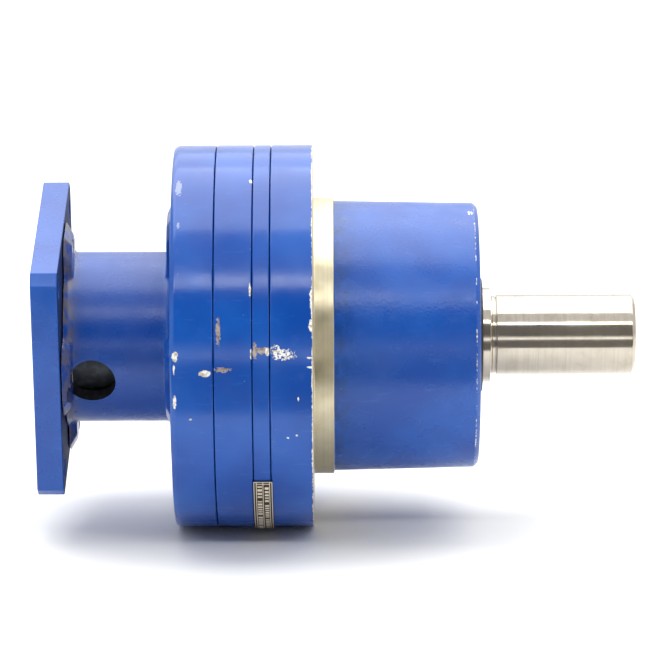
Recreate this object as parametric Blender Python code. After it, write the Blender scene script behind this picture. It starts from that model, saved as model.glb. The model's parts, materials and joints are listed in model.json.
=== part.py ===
"""An inline planetary gear reducer: motor plate, coupling neck, planetary stage and output nose.

The X axis is the shaft axis and points to the output shaft's tip. Z is up. The origin is on the shaft
axis, half way along the reducer. Angles around X count from -Y (0) up to +Z (90).
Lengths below are in millimetres, and each is turned into metres when a mesh is made.
"""

import math

import bmesh
import bpy
from mathutils import Matrix, Vector

MM = 0.001
GAP = 0.3

# Facets of a turned piece, by its size.
FACETS_DISC = 32
FACETS_MID = 18
FACETS_SMALL = 16
FACETS_SCREW = 12
FACETS_HOLE = 8

# Stations along the axis.
PLATE_START = -140.0
PLATE_THICK = 12.5
FLANGE_START = -76.0
RING_START = -56.0
SPACER_START = -38.5
OUTPUT_START = -30.5
PILOT_START = -11.0
NOSE_START = -1.5
NOSE_END = 66.0
SEAL_END = 68.2
COLLAR_END = 72.0
RELIEF_END = 74.8
SHAFT_END = 140.0

# Outside radii, and how far the edges are broken. The first disc's front edge slopes more.
DISC_R = 90.0
DISC_EDGE = 0.9
FIRST_DISC_SLOPE = (2.2, 1.2)
NOSE_EDGE = 2.0
PILOT_EDGE = 0.8
PILOT_R = 65.0
NOSE_R_START = 63.6
NOSE_R_END = 62.3
NECK_R = 40.0
COLLAR_R = 22.5
SHAFT_R = 19.0
RELIEF_R = 18.6

# Motor plate and coupling neck.
PLATE_SIDE = 114.0
PLATE_CORNER_CUT = 7.0
PLATE_TURN = 31.5
MOTOR_PILOT_R = 55.0
MOTOR_PILOT_DEPTH = 5.0
MOTOR_BOLT_CIRCLE_R = 65.0
MOTOR_BOLT_HOLE_R = 4.75
NECK_BORE_R = 32.0
SPIGOT_R = 36.0
SPIGOT_LENGTH = 4.0
EAR_HALF_WIDTH = 18.0
EAR_INNER_R = 37.5
EAR_LIFT = 0.05
PLATE_EAR_R = 56.0
PLATE_EAR_THICK = 4.0
FLANGE_EAR_R = 66.0
FLANGE_EAR_THICK = 3.0
EAR_SLOPE = 6.0
EAR_SCREW_R = 47.0
NECK_FILLET = 4.0
ACCESS_HOLE_X = -114.0
ACCESS_HOLE_R = 11.0
ACCESS_HOLE_ANGLE = -20.0

# Gears.
MODULE = 2.25
SUN_TEETH = 18
PLANET_TEETH = 18
RING_TEETH = SUN_TEETH + 2 * PLANET_TEETH
PRESSURE_ANGLE = math.radians(20.0)
BACKLASH = 0.16
CENTRE_DISTANCE = MODULE * (SUN_TEETH + PLANET_TEETH) / 2
PLANET_ANGLES = (90.0, 210.0, 330.0)
PLANET_START = -55.0
PLANET_END = -40.0
PLANET_BORE_R = 10.3
BUSH_R = 9.9
PIN_R = 8.0
SUN_STUB_R = 11.0
SUN_SHOULDER_R = 17.0

# Carrier and output shaft.
CARRIER_R = 55.0
CHEEK_START = -60.9
CHEEK_END = -56.0
CARRIER_START = -39.0
CARRIER_END = -22.0
PIN_END = -27.0

# Bearings: bore radius, outer radius, start and end.
INPUT_BEARING = (20.0, 31.0, -76.4, -64.4)
INNER_BEARING = (27.5, 50.0, -14.5, 6.5)
OUTER_BEARING = (22.5, 42.5, 36.0, 55.0)
BALL_COUNT = 7

# Screws: shank radius, head radius, head length.
M6 = (3.0, 5.0, 6.0)
M6_LOW_HEAD = (3.0, 5.0, 4.0)
PLATE_SCREW_WEB = 3.0
PLATE_SCREW_LENGTH = 7.0
NECK_SCREW_WEB = 8.0
NECK_SCREW_LENGTH = 11.0
STACK_HEAD_DEPTH = 7.0
STACK_SCREW_LENGTH = 52.0
STACK_SCREW_R = 79.0
STACK_SCREW_ANGLES = tuple(range(15, 375, 60))
CUSTOMER_HOLE_ANGLES = (0, 90, 180, 270)
CUSTOMER_HOLE_R = 4.2
CUSTOMER_HOLE_DEPTH = 14.0

# The boss of the first disc, and the shaft seals in and out.
BOSS_START = -87.0
BOSS_WEB = -79.2
INPUT_SEAL_R = 25.2
OUTPUT_SEAL_R = 31.5
OUTPUT_SEAL_START = 58.0
SEAL_COLLAR_R = 27.0

# Retaining rings' grooves: start and end.
INPUT_RING_GROOVE = (-64.1, -62.5)
INPUT_RING_GROOVE_R = 33.4
SHAFT_RING_GROOVE = (55.3, 57.3)
SUN_RING_GROOVE = (-41.8, -40.6)
SUN_RING_GROOVE_R = 9.5

# The nameplate: along X, round the discs, and how thick it is.
LABEL_START = -38.8
LABEL_END = -30.0
LABEL_ANGLES = (-35.5, -77.0)
LABEL_THICK = 0.7

# O-ring grooves in the discs' faces.
O_RING_R = 70.5
O_RING_GROOVE_HALF = 1.6
O_RING_GROOVE_DEPTH = 2.2

# Input shaft.
MOTOR_SHAFT_R = 12.0
MOTOR_BORE_END = -92.0
CLAMP_RING_R = 29.0
CLAMP_START = -124.0
CLAMP_END = -102.0
HUB_R = 18.0
HUB_START = -127.0
CLAMP_SCREW_OFFSET = 23.0
CLAMP_ANGLE = 120.0
CLAMP_SEAT = 8.0
CLAMP_SCREW_LENGTH = 18.0
SLOT_HALF = 1.0

ENAMEL_BLUE = (0.016, 0.105, 0.49, 1.0)
BARE_STEEL = (0.62, 0.58, 0.48, 1.0)
GROUND_STEEL = (0.68, 0.67, 0.64, 1.0)
GEAR_STEEL = (0.42, 0.42, 0.43, 1.0)
HUB_STEEL = (0.30, 0.27, 0.25, 1.0)
BLACK_OXIDE = (0.05, 0.05, 0.055, 1.0)
SEAL_RUBBER = (0.025, 0.025, 0.03, 1.0)
BRONZE = (0.52, 0.34, 0.13, 1.0)
PLATE_BRASS = (0.45, 0.34, 0.17, 1.0)


def clear_scene():
    for obj in list(bpy.data.objects):
        bpy.data.objects.remove(obj, do_unlink=True)


def material(name, colour, roughness, metallic):
    made = bpy.data.materials.new(name)
    made.use_nodes = True
    shader = made.node_tree.nodes["Principled BSDF"]
    shader.inputs["Base Color"].default_value = colour
    shader.inputs["Roughness"].default_value = roughness
    shader.inputs["Metallic"].default_value = metallic
    made.diffuse_color = colour
    return made


def enamel(name):
    return material(name, ENAMEL_BLUE, 0.28, 0.0)


def polar(x, radius, degrees):
    """The point at this station, distance from the axis and angle around it."""
    angle = math.radians(degrees)
    return Vector((x, -radius * math.cos(angle), radius * math.sin(angle)))


def turned_to(degrees):
    """The turn about X that takes the direction of angle 0 to this angle."""
    return Matrix.Rotation(-math.radians(degrees), 4, "X")


def bore_for(radius, facets):
    """The bore radius whose flats stay one gap clear of a round piece of this radius."""
    return radius / math.cos(math.pi / facets) + GAP


def add_object(name, bm, finish, parent=None):
    """Turns the bmesh into a metre-sized object. A parent empty sits on the piece's own joint axis."""
    bmesh.ops.remove_doubles(bm, verts=bm.verts, dist=1e-5)
    bmesh.ops.recalc_face_normals(bm, faces=bm.faces)
    place = parent.location if parent else Vector((0, 0, 0))
    bmesh.ops.scale(bm, vec=(MM, MM, MM), verts=bm.verts)
    bmesh.ops.translate(bm, vec=-place, verts=bm.verts)
    mesh = bpy.data.meshes.new(name)
    bm.to_mesh(mesh)
    bm.free()
    if finish:
        mesh.materials.append(finish)
    mesh.shade_smooth()
    mesh.set_sharp_from_angle(angle=math.radians(32))
    made = bpy.data.objects.new(name, mesh)
    bpy.context.scene.collection.objects.link(made)
    made.parent = parent
    return made


def axis_empty(name, point=(0, 0, 0), parent=None):
    empty = bpy.data.objects.new(name, None)
    empty.empty_display_size = 0.05
    empty.location = Vector(point) * MM
    empty.parent = parent
    bpy.context.scene.collection.objects.link(empty)
    return empty


def lathe(profile, facets, bm=None):
    """Spins a closed outline of (x, radius) points around X, with a flat lying straight down."""
    bm = bm or bmesh.new()
    start = turned_to(180.0 / facets)
    points = [bm.verts.new(start @ Vector((x, -radius, 0))) for x, radius in profile]
    edges = [bm.edges.new((points[i - 1], points[i])) for i in range(len(points))]
    if profile[0][1] == 0 and profile[-1][1] == 0:
        bm.edges.remove(edges[0])
        edges = edges[1:]
    bmesh.ops.spin(
        bm,
        geom=points + edges,
        axis=(1, 0, 0),
        cent=(0, 0, 0),
        angle=2 * math.pi,
        steps=facets,
        use_merge=True,
    )
    return bm


def prism(outline, x_start, x_end, bm=None):
    """Extrudes a closed outline of (y, z) points along X."""
    bm = bm or bmesh.new()
    face = bm.faces.new([bm.verts.new((x_start, y, z)) for y, z in outline])
    made = bmesh.ops.extrude_face_region(bm, geom=[face])
    moved = [item for item in made["geom"] if isinstance(item, bmesh.types.BMVert)]
    bmesh.ops.translate(bm, vec=(x_end - x_start, 0, 0), verts=moved)
    return bm


def rod(start, end, radius, facets, bm=None):
    """A plain round rod between two points, for pins and for cutters."""
    bm = bm or bmesh.new()
    along = Vector(end) - Vector(start)
    turn = along.to_track_quat("Z", "Y").to_matrix().to_4x4()
    place = Matrix.Translation((Vector(start) + Vector(end)) / 2)
    half_facet = Matrix.Rotation(math.pi / facets, 4, "Z")
    bmesh.ops.create_cone(
        bm,
        cap_ends=True,
        segments=facets,
        radius1=radius,
        radius2=radius,
        depth=along.length,
        matrix=place @ turn @ half_facet,
    )
    return bm


def combine(target, bm, operation, label):
    """Joins to, or takes from, the target the shells in bm, with a hidden helper object."""
    helper = add_object(f"{target.name}_{label}", bm, None)
    helper.hide_render = True
    helper.display_type = "WIRE"
    change = target.modifiers.new(label, "BOOLEAN")
    change.operation = operation
    change.solver = "EXACT"
    change.object = helper


def cut(target, bm, label="cut"):
    combine(target, bm, "DIFFERENCE", label)


def join(target, bm, label="join"):
    combine(target, bm, "UNION", label)


def holes(x_start, x_end, circle_r, angles, hole_r, facets=FACETS_HOLE, bm=None):
    """Cutters for a circle of round holes along X."""
    bm = bm or bmesh.new()
    for angle in angles:
        rod(polar(x_start, circle_r, angle), polar(x_end, circle_r, angle), hole_r, facets, bm)
    return bm


def counterbored(x_head, x_seat, x_end, circle_r, angles, screw):
    """Cutters for screw holes: head room from x_head to x_seat, then the shank's hole to x_end."""
    shank_r, head_r, _ = screw
    bm = bmesh.new()
    direction = math.copysign(1.0, x_end - x_head)
    for angle in angles:
        wide = bore_for(head_r, FACETS_HOLE)
        narrow = bore_for(shank_r, FACETS_HOLE)
        profile = [
            (x_head - direction, 0),
            (x_head - direction, wide),
            (x_seat, wide),
            (x_seat, narrow),
            (x_end, narrow),
            (x_end, 0),
        ]
        shell = lathe(profile, FACETS_HOLE)
        bmesh.ops.translate(shell, vec=polar(0, circle_r, angle), verts=shell.verts)
        bmesh.ops.remove_doubles(shell, verts=shell.verts, dist=1e-5)
        mesh = bpy.data.meshes.new("hole")
        shell.to_mesh(mesh)
        shell.free()
        bm.from_mesh(mesh)
        bpy.data.meshes.remove(mesh)
    return bm


def involute(angle):
    return math.tan(angle) - angle


def gear_outline(teeth, root_r, tip_r, thin, tooth_at_zero=True):
    """Involute tooth outline: three points a flank, thinned (or, if negative, widened) at the pitch line."""
    pitch_r = MODULE * teeth / 2
    base_r = pitch_r * math.cos(PRESSURE_ANGLE)
    half_pitch = math.pi / (2 * teeth) - thin / pitch_r
    radii = [root_r, (root_r + tip_r) / 2, tip_r]
    half_angles = []
    for radius in radii:
        pressure = math.acos(min(1.0, base_r / max(radius, base_r)))
        half_angles.append(half_pitch + involute(PRESSURE_ANGLE) - involute(pressure))
    outline = []
    offset = 0.0 if tooth_at_zero else math.pi / teeth
    for tooth in range(teeth):
        middle = offset + tooth * 2 * math.pi / teeth
        flank = list(zip(radii, half_angles))
        outline += [(radius, middle - half) for radius, half in flank]
        outline += [(radius, middle + half) for radius, half in reversed(flank)]
    return [(-radius * math.cos(angle), radius * math.sin(angle)) for radius, angle in outline]


def build_screw(name, seat, direction, length, screw, facets=FACETS_SCREW):
    """A socket head screw: seat is the point under its head, and direction is where its shank goes."""
    shank_r, head_r, head_length = screw
    socket_r = head_r * 0.58
    profile = [
        (-head_length + head_length * 0.5, 0),
        (-head_length + head_length * 0.5, socket_r),
        (-head_length, socket_r),
        (-head_length, head_r),
        (0, head_r),
        (0, shank_r),
        (length, shank_r),
        (length, 0),
    ]
    bm = lathe(profile, facets)
    for vert in bm.verts:
        radius = math.hypot(vert.co.y, vert.co.z)
        corner = round(math.degrees(math.atan2(vert.co.z, vert.co.y)) / (360 / facets) - 0.5) % 2
        if abs(radius - socket_r) < 1e-4 and corner:
            vert.co.y *= math.cos(math.pi / 6)
            vert.co.z *= math.cos(math.pi / 6)
    turn = Vector((1, 0, 0)).rotation_difference(Vector(direction)).to_matrix().to_4x4()
    bmesh.ops.transform(bm, matrix=Matrix.Translation(seat) @ turn, verts=bm.verts)
    return add_object(name, bm, material(name, BLACK_OXIDE, 0.4, 0.8))


def o_ring_groove(x_face):
    """The four outline points of an O-ring groove in a face that looks towards the output."""
    inner = O_RING_R - O_RING_GROOVE_HALF
    outer = O_RING_R + O_RING_GROOVE_HALF
    floor = x_face - O_RING_GROOVE_DEPTH
    return [(x_face, inner), (floor, inner), (floor, outer), (x_face, outer)]


def disc_outline(x_start, x_end, inner_r):
    """A plain disc of the stack, with broken outer edges and an O-ring groove in its end face."""
    edge = DISC_EDGE
    outer = DISC_R / math.cos(math.pi / FACETS_DISC)
    return [
        (x_start, inner_r),
        (x_end, inner_r),
        *o_ring_groove(x_end),
        (x_end, outer - edge),
        (x_end - edge, outer),
        (x_start + edge, outer),
        (x_start, outer - edge),
    ]


def ear_angles():
    return tuple(PLATE_TURN + 45 + 90 * turn for turn in range(4))


def build_motor_plate():
    half = PLATE_SIDE / 2
    cut_leg = PLATE_CORNER_CUT / math.sqrt(2)
    corner = [(half, half - cut_leg), (half - cut_leg, half)]
    outline = []
    for quarter in range(4):
        turn = math.radians(90 * quarter + 45 - PLATE_TURN)
        for y, z in corner:
            sine, cosine = math.sin(turn), math.cos(turn)
            outline.append((y * cosine - z * sine, y * sine + z * cosine))
    end = PLATE_START + PLATE_THICK
    plate = add_object(
        "motor_adapter_plate",
        prism(outline, PLATE_START, end),
        enamel("plate_enamel"),
    )
    recess = PLATE_START + MOTOR_PILOT_DEPTH
    spigot = bore_for(SPIGOT_R, FACETS_DISC)
    bore = [
        (PLATE_START - 1, 0),
        (PLATE_START - 1, MOTOR_PILOT_R),
        (recess, MOTOR_PILOT_R),
        (recess, spigot),
        (end + 1, spigot),
        (end + 1, 0),
    ]
    cut(plate, lathe(bore, FACETS_DISC), "bore")
    corners = tuple(PLATE_TURN + 90 * turn for turn in range(4))
    bolts = holes(PLATE_START - 1, end + 1, MOTOR_BOLT_CIRCLE_R, corners, MOTOR_BOLT_HOLE_R, FACETS_SMALL)
    cut(plate, bolts, "bolts")
    seat = end - PLATE_SCREW_WEB
    cut(plate, counterbored(recess, seat, end + 1, EAR_SCREW_R, ear_angles(), M6), "screws")


def ear(x_base, x_top, reach):
    """One cast ear at angle 0, from inside the neck's wall out to its sloping end."""
    bm = bmesh.new()
    rings = []
    for x, shrink in ((x_base, 0.0), (x_top, EAR_SLOPE)):
        outer = reach - shrink
        wide = EAR_HALF_WIDTH - shrink / 2
        corners = [
            (EAR_INNER_R, -wide),
            (outer - 6, -wide),
            (outer, -wide + 8),
            (outer, wide - 8),
            (outer - 6, wide),
            (EAR_INNER_R, wide),
        ]
        rings.append([bm.verts.new((x, -radius, side)) for radius, side in corners])
    for i in range(len(rings[0])):
        bm.faces.new((rings[0][i - 1], rings[0][i], rings[1][i], rings[1][i - 1]))
    bm.faces.new(rings[0])
    bm.faces.new(rings[1])
    bmesh.ops.recalc_face_normals(bm, faces=bm.faces)
    return bm


def all_ears(x_base, x_top, reach):
    bm = bmesh.new()
    for angle in ear_angles():
        single = ear(x_base, x_top, reach)
        bmesh.ops.transform(single, matrix=turned_to(angle), verts=single.verts)
        mesh = bpy.data.meshes.new("ear")
        single.to_mesh(mesh)
        single.free()
        bm.from_mesh(mesh)
        bpy.data.meshes.remove(mesh)
    return bm


def build_coupling_housing():
    start = PLATE_START + PLATE_THICK + GAP
    end = FLANGE_START - GAP
    fillet = [
        (NECK_FILLET * (1 - math.sin(turn)), NECK_R + NECK_FILLET * (1 - math.cos(turn)))
        for turn in map(math.radians, (90, 60, 30, 0))
    ]
    outline = [
        (start - SPIGOT_LENGTH, NECK_BORE_R),
        (end, NECK_BORE_R),
        *[(end - x, radius) for x, radius in fillet],
        *[(start + x, radius) for x, radius in reversed(fillet)],
        (start, SPIGOT_R),
        (start - SPIGOT_LENGTH, SPIGOT_R),
    ]
    neck = add_object("coupling_housing", lathe(outline, FACETS_DISC), enamel("neck_enamel"))
    join(neck, all_ears(start + EAR_LIFT, start + PLATE_EAR_THICK, PLATE_EAR_R), "plate_ears")
    join(neck, all_ears(end - EAR_LIFT, end - FLANGE_EAR_THICK, FLANGE_EAR_R), "flange_ears")
    window = rod(
        polar(ACCESS_HOLE_X, NECK_BORE_R - 8, ACCESS_HOLE_ANGLE),
        polar(ACCESS_HOLE_X, NECK_R + 20, ACCESS_HOLE_ANGLE),
        ACCESS_HOLE_R,
        FACETS_MID,
    )
    cut(neck, window, "window")
    tapped = bore_for(M6[0], FACETS_HOLE)
    ends = holes(start - 1, start + PLATE_EAR_THICK + 2, EAR_SCREW_R, ear_angles(), tapped)
    holes(end - FLANGE_EAR_THICK - 2, end + 1, EAR_SCREW_R, ear_angles(), tapped, bm=ends)
    cut(neck, ends, "tapped")
    for number, angle in enumerate(ear_angles(), start=1):
        plate_end = PLATE_START + PLATE_THICK
        seat = polar(plate_end - PLATE_SCREW_WEB - GAP / 2, EAR_SCREW_R, angle)
        build_screw(f"plate_screw_{number}", seat, (1, 0, 0), PLATE_SCREW_LENGTH, M6_LOW_HEAD)
        seat = polar(FLANGE_START + NECK_SCREW_WEB + GAP / 2, EAR_SCREW_R, angle)
        build_screw(f"neck_screw_{number}", seat, (-1, 0, 0), NECK_SCREW_LENGTH, M6)


def build_input_flange():
    """The first disc: seal and input bearing inside, and a boss that centres the neck."""
    bore_r, outer_r, bearing_start, _ = INPUT_BEARING
    end = RING_START - GAP
    recess = CHEEK_START - GAP * 2
    seat_r = bore_for(outer_r, FACETS_DISC)
    boss_r = (NECK_BORE_R - GAP) * math.cos(math.pi / FACETS_DISC)
    outer = DISC_R / math.cos(math.pi / FACETS_DISC)
    edge = DISC_EDGE
    slope_x, slope_r = FIRST_DISC_SLOPE
    seal_r = bore_for(INPUT_SEAL_R, FACETS_MID)
    web_r = INPUT_SEAL_R - 2.5
    outline = [
        (BOSS_START, seal_r),
        (BOSS_WEB, seal_r),
        (BOSS_WEB, web_r),
        (bearing_start - GAP, web_r),
        (bearing_start - GAP, seat_r),
        (INPUT_RING_GROOVE[0], seat_r),
        (INPUT_RING_GROOVE[0], INPUT_RING_GROOVE_R),
        (INPUT_RING_GROOVE[1], INPUT_RING_GROOVE_R),
        (INPUT_RING_GROOVE[1], seat_r),
        (recess, seat_r),
        (recess, CARRIER_R + 2),
        (end, CARRIER_R + 2),
        *o_ring_groove(end),
        (end, outer - edge),
        (end - edge, outer),
        (FLANGE_START + slope_x, outer),
        (FLANGE_START, outer - slope_r),
        (FLANGE_START, boss_r),
        (BOSS_START, boss_r),
    ]
    flange = add_object("input_flange", lathe(outline, FACETS_DISC), enamel("input_flange_enamel"))
    seat = FLANGE_START + STACK_HEAD_DEPTH
    stack_cut = counterbored(FLANGE_START, seat, end + 1, STACK_SCREW_R, STACK_SCREW_ANGLES, M6)
    cut(flange, stack_cut, "stack_screws")
    neck_seat = FLANGE_START + NECK_SCREW_WEB
    neck_cut = counterbored(recess, neck_seat, FLANGE_START - 1, EAR_SCREW_R, ear_angles(), M6)
    cut(flange, neck_cut, "neck_screws")
    build_seal("input_shaft_seal", BOSS_START, BOSS_WEB - GAP, bore_r + GAP, INPUT_SEAL_R)
    circlip_start = INPUT_RING_GROOVE[0] + 0.2
    circlip_end = INPUT_RING_GROOVE[1] - 0.2
    build_circlip("input_bearing_circlip", circlip_start, circlip_end, 29.0, 32.8, 0.0)
    for number, angle in enumerate(STACK_SCREW_ANGLES, start=1):
        under_head = polar(seat - GAP / 2, STACK_SCREW_R, angle)
        build_screw(f"housing_screw_{number}", under_head, (1, 0, 0), STACK_SCREW_LENGTH, M6)


def stack_holes(x_start, x_end):
    clearance = bore_for(M6[0], FACETS_HOLE)
    return holes(x_start - 1, x_end + 1, STACK_SCREW_R, STACK_SCREW_ANGLES, clearance)


def build_ring_gear():
    end = SPACER_START - GAP
    pitch_r = MODULE * RING_TEETH / 2
    outline = disc_outline(RING_START, end, pitch_r - 3 * MODULE)
    ring = add_object("ring_gear", lathe(outline, FACETS_DISC), enamel("ring_gear_enamel"))
    spaces = gear_outline(RING_TEETH, pitch_r - MODULE, pitch_r + 1.25 * MODULE, -BACKLASH / 2, False)
    tooth_cutter = prism(spaces, RING_START - 1, end + 1)
    bmesh.ops.transform(tooth_cutter, matrix=turned_to(PLANET_ANGLES[0]), verts=tooth_cutter.verts)
    cut(ring, tooth_cutter, "teeth")
    cut(ring, stack_holes(RING_START, end), "stack_screws")


def build_spacer_ring():
    end = OUTPUT_START - GAP
    outline = disc_outline(SPACER_START, end, CARRIER_R + 3)
    spacer = add_object("spacer_ring", lathe(outline, FACETS_DISC), enamel("spacer_enamel"))
    cut(spacer, stack_holes(SPACER_START, end), "stack_screws")


def build_o_rings():
    """One O-ring in each groove, with a square section standing on its corner."""
    for number, x_next in enumerate((RING_START, SPACER_START, OUTPUT_START), start=1):
        centre_x = x_next - GAP - O_RING_GROOVE_DEPTH / 2
        half = O_RING_GROOVE_DEPTH / 2 - 0.2
        section = [
            (centre_x - half, O_RING_R),
            (centre_x, O_RING_R - half),
            (centre_x + half, O_RING_R),
            (centre_x, O_RING_R + half),
        ]
        name = f"housing_o_ring_{number}"
        add_object(name, lathe(section, FACETS_DISC), material(name, SEAL_RUBBER, 0.6, 0.0))


def build_output_housing():
    """The fourth disc, the pilot and the nose: one casting with both output bearing seats."""
    _, inner_outer_r, inner_start, inner_end = INNER_BEARING
    _, outer_outer_r, outer_start, outer_end = OUTER_BEARING
    disc_r = DISC_R / math.cos(math.pi / FACETS_DISC)
    edge = DISC_EDGE
    cavity_r = CARRIER_R + 3
    inner_seat = bore_for(inner_outer_r, FACETS_DISC)
    outer_seat = bore_for(outer_outer_r, FACETS_DISC)
    seal_seat = bore_for(OUTPUT_SEAL_R, FACETS_MID)
    outline = [
        (OUTPUT_START, cavity_r),
        (CARRIER_END + 4, cavity_r),
        (CARRIER_END + 4, inner_seat),
        (inner_end + GAP, inner_seat),
        (inner_end + GAP, inner_outer_r - 5),
        (outer_start - GAP, outer_outer_r - 5),
        (outer_start - GAP, outer_seat),
        (outer_end + GAP, outer_seat),
        (outer_end + GAP, seal_seat),
        (NOSE_END, seal_seat),
        (NOSE_END, NOSE_R_END - NOSE_EDGE),
        (NOSE_END - NOSE_EDGE, NOSE_R_END),
        (NOSE_START, NOSE_R_START),
        (NOSE_START, PILOT_R - PILOT_EDGE),
        (NOSE_START - PILOT_EDGE, PILOT_R),
        (PILOT_START, PILOT_R),
        (PILOT_START, disc_r - edge),
        (PILOT_START - edge, disc_r),
        (OUTPUT_START + edge, disc_r),
        (OUTPUT_START, disc_r - edge),
    ]
    housing = add_object("output_housing", lathe(outline, FACETS_DISC), enamel("output_enamel"))
    tapped = stack_holes(OUTPUT_START, PILOT_START - 5)
    holes(
        PILOT_START + 1,
        PILOT_START - CUSTOMER_HOLE_DEPTH,
        STACK_SCREW_R,
        CUSTOMER_HOLE_ANGLES,
        CUSTOMER_HOLE_R,
        bm=tapped,
    )
    cut(housing, tapped, "tapped")
    lip_r = COLLAR_R + 2 * GAP
    seal_end = NOSE_END - GAP
    collar = [(SEAL_END, lip_r), (SEAL_END, SEAL_COLLAR_R), (seal_end, SEAL_COLLAR_R)]
    build_seal("output_shaft_seal", OUTPUT_SEAL_START, seal_end, lip_r, OUTPUT_SEAL_R, collar)


def build_seal(name, start, end, inner_r, outer_r, collar=None):
    """A shaft seal, open as a groove behind its lip. A collar of outline points may stand proud of it."""
    lip_r = inner_r / math.cos(math.pi / FACETS_MID)
    middle_r = (inner_r + outer_r) / 2
    front = collar or [(end, inner_r)]
    front = [(x, max(radius, lip_r)) for x, radius in front]
    outline = [
        (start, middle_r),
        (start + 2.5, middle_r),
        (start + 2.5, lip_r + 1.5),
        (start + 1, lip_r),
        *front,
        (end, outer_r),
        (start, outer_r),
    ]
    add_object(name, lathe(outline, FACETS_MID), material(name, SEAL_RUBBER, 0.55, 0.0))


def build_circlip(name, start, end, inner_r, outer_r, angle, parent=None):
    """A retaining ring with its gap at this angle."""
    outline = [(start, inner_r), (end, inner_r), (end, outer_r), (start, outer_r)]
    ring = add_object(name, lathe(outline, FACETS_MID), material(name, GEAR_STEEL, 0.4, 0.9), parent)
    reach = outer_r + 5
    slot = rod(polar((start + end) / 2, inner_r - 4, angle), polar((start + end) / 2, reach, angle), 4, 8)
    cut(ring, slot, "gap")


def build_nameplate():
    """A thin curved plate, laid over the spacer ring low on the near side."""
    inner_r = DISC_R / math.cos(math.pi / FACETS_DISC) + GAP
    outer_r = inner_r + LABEL_THICK
    first, last = LABEL_ANGLES
    steps = 8
    angles = [first + (last - first) * step / steps for step in range(steps + 1)]
    outline = [polar(0, outer_r, angle).yz for angle in angles]
    outline += [polar(0, inner_r, angle).yz for angle in reversed(angles)]
    add_object(
        "nameplate",
        prism(outline, LABEL_START, LABEL_END),
        material("nameplate", PLATE_BRASS, 0.35, 0.7),
    )


def build_bearing(name, sizes, inner_parent, cage_parent):
    """A deep groove ball bearing: outer ring, inner ring, and its balls in one cage."""
    bore_r, outer_r, start, end = sizes
    middle_r = (bore_r + outer_r) / 2
    middle_x = (start + end) / 2
    land = (outer_r - bore_r) * 0.2
    ball_r = (outer_r - bore_r) / 2 - land * 0.95
    groove = ball_r * 0.55
    lift = land * 0.4
    inner = bore_r + land
    outer = outer_r - land
    ring_bore = bore_r / math.cos(math.pi / FACETS_MID)
    inner_outline = [
        (start, ring_bore),
        (end, ring_bore),
        (end, inner),
        (middle_x + groove, inner),
        (middle_x, inner - lift),
        (middle_x - groove, inner),
        (start, inner),
    ]
    outer_outline = [
        (start, outer),
        (middle_x - groove, outer),
        (middle_x, outer + lift),
        (middle_x + groove, outer),
        (end, outer),
        (end, outer_r),
        (start, outer_r),
    ]
    steel = GEAR_STEEL
    add_object(
        f"{name}_outer_ring",
        lathe(outer_outline, FACETS_MID),
        material(f"{name}_outer_ring", steel, 0.25, 0.9),
    )
    add_object(
        f"{name}_inner_ring",
        lathe(inner_outline, FACETS_MID),
        material(f"{name}_inner_ring", steel, 0.25, 0.9),
        inner_parent,
    )
    cage_half = ball_r * 0.3
    cage_wide = ball_r * 0.55
    cage_outline = [
        (middle_x - cage_wide, middle_r - cage_half),
        (middle_x + cage_wide, middle_r - cage_half),
        (middle_x + cage_wide, middle_r + cage_half),
        (middle_x - cage_wide, middle_r + cage_half),
    ]
    cage = add_object(
        f"{name}_balls",
        lathe(cage_outline, FACETS_MID),
        material(f"{name}_balls", BRONZE, 0.3, 0.9),
        cage_parent,
    )
    balls = bmesh.new()
    for number in range(BALL_COUNT):
        place = Matrix.Translation(polar(middle_x, middle_r, number * 360 / BALL_COUNT))
        bmesh.ops.create_uvsphere(balls, u_segments=8, v_segments=4, radius=ball_r, matrix=place)
    join(cage, balls, "balls")


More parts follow.
